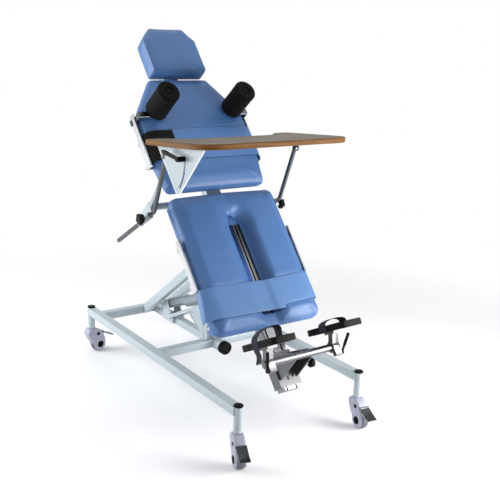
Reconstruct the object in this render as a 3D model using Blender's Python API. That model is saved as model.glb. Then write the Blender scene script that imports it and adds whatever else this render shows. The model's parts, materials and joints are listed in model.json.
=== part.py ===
"""Electric tilt table on a castered base, one object for each part. Metres, +Z up, foot end at -Y.

Table parts are drawn in table coordinates: x across, s along the board from its foot edge, k out of the
cushion top. An empty on the tilt axis carries them all.
"""
import math

import bmesh
import bpy
from mathutils import Matrix, Vector

# The whole table stands centred over the origin.
CENTRE_X = -0.0151
CENTRE_Y = 0.04235
GAP = 0.0005
SEAT = 0.0003

# Castered base
STEM_X = 0.325
STEM_Y = 0.675
STEM_RADIUS = 0.0185
STEM_BOTTOM = 0.136
FRAME_TOP = 0.250
TUBE_WIDTH = 0.046
TUBE_HEIGHT = 0.038
TUBE_EDGE = 0.004
FRONT_CROSS_Y = -0.011
REAR_CROSS_Y = 0.576
BEAM_WIDTH = 0.040
PLUG_HEIGHT = 0.005
STUB_RADIUS = 0.029
STOP_RADIUS = 0.018
STOP_TOP = 0.334
STUB_REACH = 0.095
STUB_Z = 0.228

# Casters, drawn trailing toward -Y
WHEEL_RADIUS = 0.040
WHEEL_WIDTH = 0.030
TRAIL = 0.040
FORK_GAP = 0.0015
CHEEK = 0.008
AXLE_RADIUS = 0.0055
PEDAL_Y = -0.0600
PEDAL_Z = 0.1035
PEDAL_HALF = 0.0235
CASTER_TURNS = {
    "front_left": (-1, -1, -20),
    "front_right": (1, -1, -8),
    "rear_left": (-1, 1, 100),
    "rear_right": (1, 1, 45),
}

# Tilt axis, in table coordinates, and the table's place in the world at rest
TILT = math.radians(50)
TABLE_Y = -0.4693
TABLE_Z = 0.4677
PIVOT_S = 0.436
PIVOT_K = -0.124
SHAFT_RADIUS = 0.010
BORE_CLEARANCE = 0.0006
STRUT_HEAD = 0.030
STRUT_DEPTH = 0.042
STRUT_FALL = math.radians(36.8)
STRUT_X = (0.045, 0.080)
POST_X = (0.0455, 0.0685)
POST_DEPTH = 0.027
POST_LEAN = 0.11
BRACE_X = (0.0300, 0.0445)
BRACE_LINE = ((0.360, 0.246), (0.008, 0.4206))
BRACE_DEPTH = 0.018

# Lifting actuator
ACTUATOR_Y = 0.400
ACTUATOR_Z = 0.303
LEVER_S = PIVOT_S - 0.200
LEVER_K = PIVOT_K - 0.020
SLEEVE_RADIUS = 0.020
ROD_RADIUS = 0.0105
ROD_LENGTH = 0.360
MOTOR_RADIUS = 0.0270
CASE_RADIUS = 0.0245

# Cushions
CUSHION = 0.047
LEG_HALF = 0.285
LEG_LENGTH = 0.667
SLOT_HALF = 0.045
HIP_GAP = 0.028
BACK_START = LEG_LENGTH + HIP_GAP
BACK_HALF = 0.290
HIP_HALF = BACK_HALF - 0.025
BACK_S = (BACK_START, BACK_START + 0.165, BACK_START + 0.405, BACK_START + 0.6015)
SHOULDER_HALF = 0.157
HEAD_HALF = 0.150
HEAD_START = BACK_S[3] + 0.0055
HEAD_S = (HEAD_START, HEAD_START + 0.170, HEAD_START + 0.238)
HEAD_K = (-0.045, 0.040)
CROWN = 0.0065
SOFT_EDGE = ((0.0015, -0.0190), (0.0065, -0.0105), (0.0150, -0.0035), (0.0260, 0.0015), (0.0400, 0.0050))

# Frame under the cushions
COLUMN_HALF = 0.050
COLUMN_S = (-0.280, 0.510)
COLUMN_DEPTH = 0.040
SLOT_TOP = COLUMN_S[1] + 0.038
BOARD = 0.012
SPINE_HALF = 0.040
SPINE_S = (COLUMN_S[1] + 0.005, HEAD_START + 0.148)
RISER_S = (HEAD_START + 0.068, HEAD_START + 0.138)
HEAD_PLATE_S = (HEAD_START + 0.023, HEAD_START + 0.158, HEAD_START + 0.208)
HEAD_PLATE_HALF = (HEAD_HALF - 0.030, HEAD_HALF - 0.070)
SIDE_BAR_X = (LEG_HALF - 0.050, LEG_HALF - 0.020)
CHANNEL_X = (0.030, 0.038)
BACK_BAR_S = (BACK_START + 0.155, BACK_START + 0.275)
BACK_BAR_HALF = BACK_HALF - 0.028
LEG_BAR_S = (0.050, 0.150)
LEG_BAR_HALF = LEG_HALF - 0.023
TRAY_TUBE_S = LEG_LENGTH + 0.013
TRAY_TUBE_K = -0.1255
TRAY_TUBE_HALF = 0.0125

# Straps, as spans of s
LEG_STRAP_S = (0.075, 0.212)
CHEST_STRAP_S = (BACK_START + 0.145, BACK_START + 0.305)
STRAP_DEPTH = 0.003

# Accessory rails, roller brackets and rollers
RAIL_BAR = 0.008
LEG_RAIL_X = LEG_HALF + 0.010
LEG_RAIL_S = (0.218, 0.465)
BACK_RAIL_X = BACK_HALF + 0.008
BACK_RAIL_S = (BACK_START + 0.135, BACK_START + 0.415)
LEG_RAIL_BOTTOM = -0.053
BACK_RAIL_BOTTOM = -0.058
ROLLER_X = 0.207
ROLLER_S = BACK_START + 0.398
ROLLER_RADIUS = 0.061
ROLLER_K = (0.0170, 0.174)
PIN_RADIUS = 0.008

# Tray and its arms
TRAY_HALF = 0.390
TRAY_BITE_X = (TRAY_HALF - 0.180, TRAY_HALF - 0.080)
ARM_X = TRAY_HALF - 0.044
ARM_RADIUS = 0.010
ARM_ELBOW = (TRAY_TUBE_S - 0.055, -0.0615)
ARM_LEAN = math.atan(0.1466)
ARM_REACH = 0.395
TRAY_PIVOT_S = TRAY_TUBE_S + 0.081
TRAY_PIVOT_K = 0.1800
TRAY_RISE = math.radians(4.6)
CLAMP_RADIUS = 0.016
CLAMP_SPAN = (-0.150, -0.040)
KNOB_DROP = -0.058
KNOB_OFFSET = -0.009
KNOB_X = ARM_X + 0.025
CARRIER_X = (ARM_X - 0.020, ARM_X - 0.014)
TRAY_Y = (-0.364, 0.116)
TRAY_Z = (0.0430, 0.0661)
TRAY_BITE = 0.110
GUIDE_Y = (TRAY_Y[0] + 0.040, TRAY_Y[1] - 0.071)
GUIDE_TIP = (-0.112, -0.164)
PLATE_X = (ARM_X + 0.011, ARM_X + 0.014)
EAR_X = (ARM_X + 0.011, ARM_X + 0.015)
SLOT_RADIUS = 0.1735
SLOT_SWEEP = (178, 226)
LEVER_RISE = math.radians(12)

# Foot assembly
BAR_S = -0.178
BAR_K = 0.100
BAR_RADIUS = 0.0155
BAR_HALF = 0.200
CLAMP_X = 0.175
FOOT_S = -0.105
FOOT_K = 0.140
FOOT_PITCH = math.radians(28)
TOE_OUT = math.radians(1)
FOOT_WIDTH = 0.120
FOOT_LENGTH = 0.270
FOOT_DEPTH = 0.028

PAINT = ("frame_paint", (0.52, 0.60, 0.66), 0.42, 0.0)
HOOD = ("caster_hood", (0.42, 0.42, 0.50), 0.45, 0.0)
TYRE = ("caster_tyre", (0.20, 0.20, 0.21), 0.60, 0.0)
STEEL = ("bare_steel", (0.55, 0.56, 0.58), 0.35, 1.0)
CHROME = ("chrome", (0.78, 0.78, 0.76), 0.10, 1.0)
ALUMINIUM = ("anodised_aluminium", (0.70, 0.71, 0.72), 0.32, 1.0)
BLACK = ("black_plastic", (0.010, 0.010, 0.009), 0.45, 0.0)
FOAM = ("black_foam", (0.012, 0.012, 0.013), 0.80, 0.0)
VINYL = ("blue_vinyl", (0.10, 0.20, 0.46), 0.42, 0.0)
WEBBING = ("grey_webbing", (0.10, 0.10, 0.15), 0.85, 0.0)
ELASTIC = ("black_elastic", (0.010, 0.010, 0.011), 0.90, 0.0)
LAMINATE = ("tray_laminate", (0.50, 0.33, 0.20), 0.40, 0.0)
HOUSING = ("actuator_grey", (0.34, 0.38, 0.40), 0.50, 0.0)


def clear_scene():
    for obj in list(bpy.data.objects):
        bpy.data.objects.remove(obj, do_unlink=True)


def paint(look):
    name, colour, roughness, metallic = look
    found = bpy.data.materials.get(name)
    if found:
        return found
    made = bpy.data.materials.new(name)
    made.use_nodes = True
    shader = made.node_tree.nodes["Principled BSDF"]
    shader.inputs["Base Color"].default_value = (*colour, 1.0)
    shader.inputs["Roughness"].default_value = roughness
    shader.inputs["Metallic"].default_value = metallic
    made.diffuse_color = (*colour, 1.0)
    return made


def anchor(name, parent=None, place=(0, 0, 0), turn=(0, 0, 0)):
    empty = bpy.data.objects.new(name, None)
    bpy.context.scene.collection.objects.link(empty)
    empty.empty_display_size = 0.05
    empty.parent = parent
    empty.location = place
    empty.rotation_euler = turn
    return empty


def mesh_object(name, shape):
    bmesh.ops.recalc_face_normals(shape, faces=shape.faces)
    mesh = bpy.data.meshes.new(name)
    shape.to_mesh(mesh)
    shape.free()
    obj = bpy.data.objects.new(name, mesh)
    bpy.context.scene.collection.objects.link(obj)
    return obj


def piece(name, shape, look, parent, place=(0, 0, 0), turn=(0, 0, 0)):
    """A named part, smooth on its rounded faces and sharp at its corners."""
    obj = mesh_object(name, shape)
    obj.data.materials.append(paint(look))
    obj.data.shade_smooth()
    obj.data.set_sharp_from_angle(angle=math.radians(35))
    obj.parent = parent
    obj.location = place
    obj.rotation_euler = turn
    return obj


def combine(obj, shapes, operation):
    """Joins shapes to a part, or cuts them out of it, with one live Boolean each."""
    for number, shape in enumerate(shapes):
        tool = mesh_object(f"{obj.name}_{operation.lower()}_{number}", shape)
        tool.parent = obj
        tool.hide_render = True
        tool.display_type = "WIRE"
        boolean = obj.modifiers.new(tool.name, "BOOLEAN")
        boolean.operation = operation
        boolean.solver = "EXACT"
        boolean.object = tool


def join(obj, *shapes):
    combine(obj, shapes, "UNION")


def cut(obj, *shapes):
    combine(obj, shapes, "DIFFERENCE")


def box(x, y, z, bevel=0.0, segments=1):
    """A block from its lower and upper limit along each axis."""
    shape = bmesh.new()
    bmesh.ops.create_cube(shape, size=1.0)
    size = (x[1] - x[0], y[1] - y[0], z[1] - z[0])
    middle = ((x[0] + x[1]) / 2, (y[0] + y[1]) / 2, (z[0] + z[1]) / 2)
    bmesh.ops.scale(shape, vec=size, verts=shape.verts)
    bmesh.ops.translate(shape, vec=middle, verts=shape.verts)
    if bevel:
        bmesh.ops.bevel(shape, geom=shape.edges[:], offset=bevel, segments=segments, profile=0.5,
                        affect="EDGES")
    return shape


def square_tube(size, along, start, end):
    """A solid bar with rounded long edges; size is its two cross dimensions."""
    limits = [None, None, None]
    limits[along] = (start, end)
    across = [axis for axis in range(3) if axis != along]
    for axis, (low, high) in zip(across, size):
        limits[axis] = (low, high)
    shape = box(*limits)
    long_edges = []
    for edge in shape.edges:
        span = edge.verts[1].co - edge.verts[0].co
        if abs(span[along]) > 1e-6:
            long_edges.append(edge)
    bmesh.ops.bevel(shape, geom=long_edges, offset=TUBE_EDGE, segments=2, profile=0.5, affect="EDGES")
    return shape


def to_axis(point, height, axis):
    """A point of a drawing, lifted along the axis the drawing is extruded on."""
    a, b = point
    if axis == "X":
        return Vector((height, a, b))
    if axis == "Y":
        return Vector((a, height, b))
    return Vector((a, b, height))


def prism(outline, low, high, axis="X", bevel=0.0):
    """An outline extruded from low to high along an axis, with optional chamfered rims."""
    shape = bmesh.new()
    floor = [shape.verts.new(to_axis(point, low, axis)) for point in outline]
    base = shape.faces.new(floor)
    grown = bmesh.ops.extrude_face_region(shape, geom=[base])
    moved = [item for item in grown["geom"] if isinstance(item, bmesh.types.BMVert)]
    lift = to_axis((0, 0), high - low, axis)
    bmesh.ops.translate(shape, vec=lift, verts=moved)
    if bevel:
        rims = []
        for edge in shape.edges:
            span = edge.verts[1].co - edge.verts[0].co
            if abs(span.dot(lift)) < 1e-9:
                rims.append(edge)
        bmesh.ops.bevel(shape, geom=rims, offset=bevel, segments=1, profile=0.5, affect="EDGES")
    return shape


def cylinder(start, end, radius, sides=20, bevel=0.0):
    shape = bmesh.new()
    start = Vector(start)
    span = Vector(end) - start
    bmesh.ops.create_cone(shape, cap_ends=True, segments=sides, radius1=radius, radius2=radius,
                          depth=span.length)
    if bevel:
        rims = [edge for edge in shape.edges if abs(edge.verts[0].co.z - edge.verts[1].co.z) < 1e-6]
        bmesh.ops.bevel(shape, geom=rims, offset=bevel, segments=1, profile=0.5, affect="EDGES")
    turn = Vector((0, 0, 1)).rotation_difference(span.normalized()).to_matrix().to_4x4()
    bmesh.ops.transform(shape, matrix=Matrix.Translation(start + span / 2) @ turn, verts=shape.verts)
    return shape


def lathe(profile, steps=24):
    """A profile of (radius, height) pairs spun round Z; it may start and end on the axis."""
    shape = bmesh.new()
    verts = [shape.verts.new((radius, 0.0, height)) for radius, height in profile]
    edges = [shape.edges.new(pair) for pair in zip(verts, verts[1:])]
    if profile[0][0] > 0:
        edges.append(shape.edges.new((verts[-1], verts[0])))
    bmesh.ops.spin(shape, geom=verts + edges, cent=(0, 0, 0), axis=(0, 0, 1), dvec=(0, 0, 0),
                   angle=math.tau, steps=steps, use_merge=True, use_duplicate=False)
    bmesh.ops.remove_doubles(shape, verts=shape.verts, dist=1e-6)
    return shape


def turned(shape, matrix):
    bmesh.ops.transform(shape, matrix=matrix, verts=shape.verts)
    return shape


def along_x(shape, place):
    """A turned shape with its axis laid along X."""
    return turned(shape, Matrix.Translation(place) @ Matrix.Rotation(math.pi / 2, 4, "Y"))


def bent_path(points, bend, steps=4):
    """The corners of a path replaced by arcs of one radius."""
    path = [Vector(points[0])]
    for before, corner, after in zip(points, points[1:], points[2:]):
        corner = Vector(corner)
        back = (Vector(before) - corner).normalized()
        ahead = (Vector(after) - corner).normalized()
        half = back.angle(ahead) / 2
        reach = bend / math.tan(half)
        centre = corner + (back + ahead).normalized() * bend / math.sin(half)
        first = (corner + back * reach - centre).normalized()
        last = (corner + ahead * reach - centre).normalized()
        for step in range(steps + 1):
            path.append(centre + first.slerp(last, step / steps) * bend)
    path.append(Vector(points[-1]))
    return path


def pipe(points, bend, radius, sides=14):
    """A round tube along a path that lies in one plane x = constant."""
    path = bent_path(points, bend)
    shape = bmesh.new()
    rings = []
    for index, point in enumerate(path):
        before = path[max(index - 1, 0)]
        after = path[min(index + 1, len(path) - 1)]
        forward = (after - before).normalized()
        side = Vector((1, 0, 0))
        rise = side.cross(forward)
        ring = []
        for step in range(sides):
            angle = math.tau * step / sides
            ring.append(shape.verts.new(point + (side * math.cos(angle) + rise * math.sin(angle)) * radius))
        rings.append(ring)
    skin(shape, rings)
    return shape


def skin(shape, rings):
    """Quads between successive closed rings, and a face on each end."""
    for lower, upper in zip(rings, rings[1:]):
        for index in range(len(lower)):
            following = (index + 1) % len(lower)
            shape.faces.new((lower[index], lower[following], upper[following], upper[index]))
    ends = [shape.faces.new(rings[0][::-1]), shape.faces.new(rings[-1])]
    shape.normal_update()
    bmesh.ops.triangulate(shape, faces=ends, ngon_method="EAR_CLIP")


def circle(centre, radius, start, end, steps):
    """Points on an arc of a drawing, angles in degrees."""
    points = []
    for step in range(steps + 1):
        angle = math.radians(start + (end - start) * step / steps)
        points.append((centre[0] + radius * math.cos(angle), centre[1] + radius * math.sin(angle)))
    return points


def rounded(corners, radii, inset=0.0, steps=4):
    """A counter-clockwise outline drawn in by inset, with every corner turned into an arc."""
    count = len(corners)
    points = []
    for index in range(count):
        corner = Vector(corners[index])
        ahead = (Vector(corners[(index + 1) % count]) - corner).normalized()
        back = (Vector(corners[index - 1]) - corner).normalized()
        turn = (-back).angle_signed(ahead) * -1
        inward = Vector((back.y, -back.x)) + Vector((-ahead.y, ahead.x))
        inward = inward.normalized() / math.cos(turn / 2)
        moved = corner + inward * inset
        radius = max(radii[index] - inset, 0.003) if turn > 0 else radii[index] + inset
        reach = radius * math.tan(abs(turn) / 2)
        centre = moved + (inward if turn > 0 else -inward) * radius
        first = moved + back * reach - centre
        for step in range(steps + 1):
            spun = Matrix.Rotation(turn * step / steps, 2) @ first
            points.append((centre.x + spun.x, centre.y + spun.y))
    return points


def ribbon(points, thickness):
    """The outline of a band: a line of (across, up) points thickened to its left side."""
    outer = []
    for index, point in enumerate(points):
        before = Vector(points[max(index - 1, 0)])
        after = Vector(points[min(index + 1, len(points) - 1)])
        along = (after - before).normalized()
        outer.append((point[0] - along.y * thickness, point[1] + along.x * thickness))
    return list(points) + outer[::-1]


def eye_bar(centre, direction, radius, half_depth, wall_y):
    """A bar with a round head at centre, running along direction to a vertical end at wall_y."""
    centre = Vector(centre)
    along = Vector(direction).normalized()
    side = Vector((-along.y, along.x))
    opening = math.degrees(math.asin(half_depth / radius))
    heading = math.degrees(math.atan2(along.y, along.x))
    points = circle(centre, radius, heading + opening, heading + 360 - opening, 18)
    for sign in (-1, 1):
        start = centre + side * half_depth * sign
        reach = (wall_y - start.x) / along.x
        points.append(tuple(start + along * reach))
    return points


def in_world(s, k):
    """World (y, z) of a table coordinate at rest, before the whole table is centred."""
    y = TABLE_Y + s * math.cos(TILT) - k * math.sin(TILT)
    z = TABLE_Z + s * math.sin(TILT) + k * math.cos(TILT)
    return y, z


def build_base(root):
    low = FRAME_TOP - TUBE_HEIGHT
    half = TUBE_WIDTH / 2
    for side, label in ((-1, "left"), (1, "right")):
        tube = square_tube(((-half, half), (low, FRAME_TOP)), 1, -STEM_Y, STEM_Y)
        rail = piece(f"side_rail_{label}", tube, PAINT, root, (side * STEM_X, 0, 0))
        for y in (-STEM_Y, STEM_Y):
            stem = cylinder((0, y, STEM_BOTTOM), (0, y, FRAME_TOP + PLUG_HEIGHT), STEM_RADIUS, 20, 0.0015)
            join(rail, stem)
    reach = STEM_X - half - GAP
    for name, y in (("front_cross_member", FRONT_CROSS_Y), ("rear_cross_member", REAR_CROSS_Y)):
        tube = square_tube(((-half, half), (low, FRAME_TOP)), 0, -reach, reach)
        member = piece(name, tube, PAINT, root, (0, y, 0))
        if y == FRONT_CROSS_Y:
            join(member, cylinder((0, 0, STUB_Z), (0, -STUB_REACH, STUB_Z), STUB_RADIUS, 24, 0.003))
            stop_y = 0.002
            join(member, cylinder((0, stop_y, low + 0.01), (0, stop_y, STOP_TOP), STOP_RADIUS, 18, 0.006))
    build_beam(root, low, half)


def build_beam(root, low, half):
    """The lengthways beam with the actuator's two lugs and the brace up toward the posts."""
    start = FRONT_CROSS_Y + half + GAP
    end = REAR_CROSS_Y - half - GAP
    beam_half = BEAM_WIDTH / 2
    tube = square_tube(((-beam_half, beam_half), (low, FRAME_TOP)), 1, start, end)
    beam = piece("centre_beam", tube, PAINT, root)
    lug = [(ACTUATOR_Y - 0.075, FRAME_TOP - 0.030), (ACTUATOR_Y + 0.030, FRAME_TOP - 0.030)]
    lug += circle((ACTUATOR_Y, ACTUATOR_Z), 0.024, 0, 140, 8)
    for side in (-1, 1):
        low_x, high_x = sorted((side * 0.0295, side * 0.0355))
        join(beam, prism(lug, low_x, high_x, "X"))
        foot_x = sorted((side * 0.017, side * 0.0355))
        foot_y = (ACTUATOR_Y - 0.072, ACTUATOR_Y + 0.027)
        join(beam, box(foot_x, foot_y, (FRAME_TOP - 0.029, FRAME_TOP - 0.005)))
        bolt_y = ACTUATOR_Y - 0.045
        bolt_z = FRAME_TOP + 0.010
        join(beam, cylinder((side * 0.030, bolt_y, bolt_z), (side * 0.041, bolt_y, bolt_z), 0.007, 6))
        low_x, high_x = sorted(side * x for x in BRACE_X)
        join(beam, prism(bar_outline(*BRACE_LINE, BRACE_DEPTH), low_x, high_x, "X"))
    join(beam, cylinder((-0.040, ACTUATOR_Y, ACTUATOR_Z), (0.040, ACTUATOR_Y, ACTUATOR_Z), 0.008, 20))


def bar_outline(start, end, depth):
    """The outline of a straight bar of that depth along a line of a drawing."""
    start, end = Vector(start), Vector(end)
    along = (end - start).normalized()
    side = Vector((-along.y, along.x)) * depth / 2
    return [tuple(start - side), tuple(end - side), tuple(end + side), tuple(start + side)]


def strut_direction():
    return Vector((math.cos(STRUT_FALL), -math.sin(STRUT_FALL)))


def build_pivot_frame(root):
    """Each side: a strut from the rear cross member to the tilt axis, and a post under it."""
    pivot = in_world(PIVOT_S, PIVOT_K)
    wall = REAR_CROSS_Y - TUBE_WIDTH / 2 - GAP
    strut = eye_bar(pivot, strut_direction(), STRUT_HEAD, STRUT_DEPTH / 2, wall)
    foot_z = FRAME_TOP + GAP
    rear = FRONT_CROSS_Y + TUBE_WIDTH / 2
    front = rear - POST_DEPTH
    gusset = [(rear - 0.006, 0.256), (rear + 0.010, 0.256), (0.128, 0.338), (0.100, 0.370), (0.030, 0.392)]
    for side, label in ((-1, "left"), (1, "right")):
        low, high = sorted(side * x for x in STRUT_X)
        frame = piece(f"pivot_frame_{label}", prism(strut, low, high, "X", 0.002), PAINT, root)
        post_low, post_high = sorted(side * x for x in POST_X)
        join(frame, prism(post_under_strut(front, foot_z, pivot), post_low, post_high, "X", 0.002))
        plate_low, plate_high = sorted((side * (POST_X[0] + 0.0005), side * (POST_X[0] + 0.0055)))
        join(frame, prism(gusset, plate_low, plate_high, "X"))
        cut(frame, cylinder((low - 0.01, *pivot), (high + 0.01, *pivot), SHAFT_RADIUS + BORE_CLEARANCE, 16))


def post_under_strut(front, foot_z, pivot):
    """A leaning post from the front cross member up to the strut's centre line."""
    along = strut_direction()
    slope = Vector((POST_LEAN, 1.0))
    feet = [Vector((front, foot_z)), Vector((front + POST_DEPTH, foot_z))]
    tops = []
    for corner in reversed(feet):
        gap = Vector(pivot) - corner
        reach = (gap.x * along.y - gap.y * along.x) / (slope.x * along.y - slope.y * along.x)
        tops.append(corner + slope * reach)
    return [tuple(point) for point in feet + tops]


def build_casters(root):
    for label, (side, end, degrees) in CASTER_TURNS.items():
        place = (side * STEM_X, end * STEM_Y, 0)
        swivel = anchor(f"swivel_{label}", root, place, (0, 0, math.radians(degrees)))
        build_housing(label, swivel)
        build_wheel(label, swivel)
        build_pedal(label, swivel)


def build_housing(label, swivel):
    inner = WHEEL_WIDTH / 2 + FORK_GAP
    outer = inner + CHEEK
    hood = [(-0.044, 0.016), (-0.032, 0.022), (0.000, 0.052), (0.026, 0.088), (0.032, 0.106)]
    hood += [(0.029, 0.121), (0.018, 0.131), (0.000, 0.134), (-0.022, 0.130), (-0.042, 0.118)]
    hood += [(-0.056, 0.098), (-0.064, 0.070), (-0.062, 0.044), (-0.056, 0.022)]
    housing = piece(f"caster_housing_{label}", prism(hood, -outer, outer, "X", 0.005), HOOD, swivel)
    join(housing, cylinder((0, 0, 0.125), (0, 0, STEM_BOTTOM - GAP), STEM_RADIUS, 18))
    room = cylinder((-inner, -TRAIL, WHEEL_RADIUS), (inner, -TRAIL, WHEEL_RADIUS), WHEEL_RADIUS + 0.004, 20)
    well = box((-inner, inner), (-TRAIL - 0.044, -TRAIL + 0.044), (-0.010, WHEEL_RADIUS))
    cut(housing, room, well)
    axle = outer + 0.004
    join(housing, cylinder((-axle, -TRAIL, WHEEL_RADIUS), (axle, -TRAIL, WHEEL_RADIUS), AXLE_RADIUS, 12))
    for side in (-1, 1):
        for y, z, radius in ((-TRAIL, WHEEL_RADIUS, 0.0155), (-0.026, 0.102, 0.008)):
            face = side * (outer - 0.002)
            join(housing, cylinder((face, y, z), (side * (outer + 0.004), y, z), radius, 14, 0.001))


def build_wheel(label, swivel):
    half = WHEEL_WIDTH / 2
    bore = AXLE_RADIUS + BORE_CLEARANCE
    profile = [(bore, -half), (WHEEL_RADIUS - 0.007, -half), (WHEEL_RADIUS - 0.002, -half + 0.003)]
    profile += [(WHEEL_RADIUS, -half + 0.009)]
    mirrored = [(radius, -height) for radius, height in reversed(profile)]
    tyre = along_x(lathe(profile + mirrored, 20), (0, 0, 0))
    piece(f"caster_wheel_{label}", tyre, TYRE, swivel, (0, -TRAIL, WHEEL_RADIUS))


def build_pedal(label, swivel):
    """A pressed steel brake lever on the trailing side, hinged on a cross pin above the wheel."""
    hinge = anchor(f"pedal_hinge_{label}", swivel, (0, PEDAL_Y, PEDAL_Z))
    shank = [(0.0, -0.004), (-0.026, -0.0165), (-0.050, -0.0285), (-0.066, -0.0330), (-0.068, -0.0290)]
    shank += [(-0.050, -0.0240), (-0.026, -0.0115), (0.0, 0.004)]
    shape = prism(shank, -PEDAL_HALF, PEDAL_HALF, "X", 0.0006)
    pedal = piece(f"brake_pedal_{label}", shape, STEEL, hinge)
    join(pedal, cylinder((-PEDAL_HALF, 0, 0), (PEDAL_HALF, 0, 0), 0.0055, 10))


def build_table_frame(table):
    build_column(table)
    build_spine(table)
    build_boards(table)
    build_channel(table)
    build_tray_carrier(table)


def build_column(table):
    top = -CUSHION
    bottom = top - COLUMN_DEPTH
    bar = box((-COLUMN_HALF, COLUMN_HALF), COLUMN_S, (bottom, top), 0.002, 2)
    column = piece("foot_column", bar, ALUMINIUM, table)
    start, end = COLUMN_S
    for x in (-COLUMN_HALF / 2, COLUMN_HALF / 2):
        cut(column, box((x - 0.004, x + 0.004), (start - 0.01, end + 0.01), (top - 0.007, top + 0.01)))
        cut(column, box((x - 0.004, x + 0.004), (start - 0.01, end + 0.01), (bottom - 0.01, bottom + 0.007)))


def under_board(drop):
    """k of a level that far below the underside of the boards."""
    return -CUSHION - GAP - BOARD - drop


def build_spine(table):
    """The steel spine of the back, with the riser and plate that hold the head cushion."""
    top = under_board(0.0125) - GAP
    bar = square_tube(((-SPINE_HALF, SPINE_HALF), (top - 0.040, top)), 1, *SPINE_S)
    spine = piece("back_spine", bar, PAINT, table)
    plate_top = HEAD_K[0] - GAP
    join(spine, box((-0.030, 0.030), RISER_S, (top - 0.003, plate_top - 0.006)))
    start, chamfer, end = HEAD_PLATE_S
    wide, narrow = HEAD_PLATE_HALF
    plate = [(-wide, start), (wide, start), (wide, chamfer)]
    plate += [(narrow, end), (-narrow, end), (-wide, chamfer)]
    join(spine, prism(plate, plate_top - 0.010, plate_top, "Z"))


def build_boards(table):
    """The covered boards under the cushions, with the bars that carry them."""
    top = -CUSHION - GAP
    edge = LEG_HALF - 0.006
    slot = COLUMN_HALF + 0.0025
    start, end = 0.006, LEG_LENGTH - 0.006
    slot_end = COLUMN_S[1] + 0.0025
    corners = [(-edge, start), (-slot, start), (-slot, slot_end), (slot, slot_end), (slot, start)]
    corners += [(edge, start), (edge, end), (-edge, end)]
    outline = rounded(corners, (0.04, 0.002, 0.004, 0.004, 0.002, 0.04, 0.04, 0.04), 0.0, 3)
    leg = piece("leg_board", prism(outline, top - BOARD, top, "Z"), VINYL, table)
    bar_top = under_board(-0.001)
    tube_top = -CUSHION - COLUMN_DEPTH - GAP
    for side in (-1, 1):
        limits = sorted(side * x for x in SIDE_BAR_X)
        join(leg, box(limits, (0.030, LEG_LENGTH - 0.027), (tube_top - 0.003, bar_top)))
    for s in LEG_BAR_S:
        bar_k = (tube_top - 0.025, tube_top)
        join(leg, box((-LEG_BAR_HALF, LEG_BAR_HALF), (s - 0.0125, s + 0.0125), bar_k))
    outline = rounded(*back_outline(), 0.006, 3)
    back = piece("back_board", prism(outline, top - BOARD, top, "Z"), VINYL, table)
    for s in BACK_BAR_S:
        bar_k = (under_board(0.0125), bar_top)
        join(back, box((-BACK_BAR_HALF, BACK_BAR_HALF), (s - 0.0125, s + 0.0125), bar_k))


def back_outline():
    """The back's corners, anticlockwise from the hip, and their radii."""
    low, wide, high, shoulder = BACK_S
    corners = [(-HIP_HALF, low), (HIP_HALF, low), (BACK_HALF, wide), (BACK_HALF, high)]
    corners += [(SHOULDER_HALF, shoulder), (-SHOULDER_HALF, shoulder)]
    corners += [(-BACK_HALF, high), (-BACK_HALF, wide)]
    return corners, (0.030, 0.030, 0.060, 0.050, 0.020, 0.020, 0.050, 0.060)


def build_channel(table):
    """The welded channel under the table: two plates with the tilt shaft and the actuator's bosses."""
    under_column = -CUSHION - COLUMN_DEPTH - GAP
    under_spine = under_board(0.0125) - 2 * GAP - 0.040
    near, far = CHANNEL_X
    column_end = COLUMN_S[1] + 0.002
    side_view = [(0.235, under_column), (column_end, under_column), (column_end, under_spine)]
    side_view += [(0.600, under_spine), (0.600, under_spine - 0.014), (PIVOT_S + 0.030, PIVOT_K - 0.034)]
    side_view += [(PIVOT_S - 0.030, PIVOT_K - 0.034), (LEVER_S + 0.030, LEVER_K - 0.010)]
    side_view += circle((LEVER_S, LEVER_K), 0.024, -10, -170, 8)
    web = box((-far, far), (0.2355, COLUMN_S[1]), (under_column - 0.005, under_column - 0.0001))
    channel = piece("tilt_channel", web, PAINT, table)
    eye = (LEVER_S, LEVER_K)
    for side in (-1, 1):
        low, high = sorted((side * near, side * far))
        join(channel, prism(side_view[::-1], low, high, "X"))
        boss = cylinder((side * 0.0125, *eye), (side * (near + 0.004), *eye), 0.018, 16)
        head = cylinder((side * (far - 0.002), *eye), (side * (far + 0.006), *eye), 0.012, 6)
        join(channel, boss, head)
    reach = STRUT_X[1] + 0.006
    join(channel, cylinder((-reach, PIVOT_S, PIVOT_K), (reach, PIVOT_S, PIVOT_K), SHAFT_RADIUS, 16, 0.0015))


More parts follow.
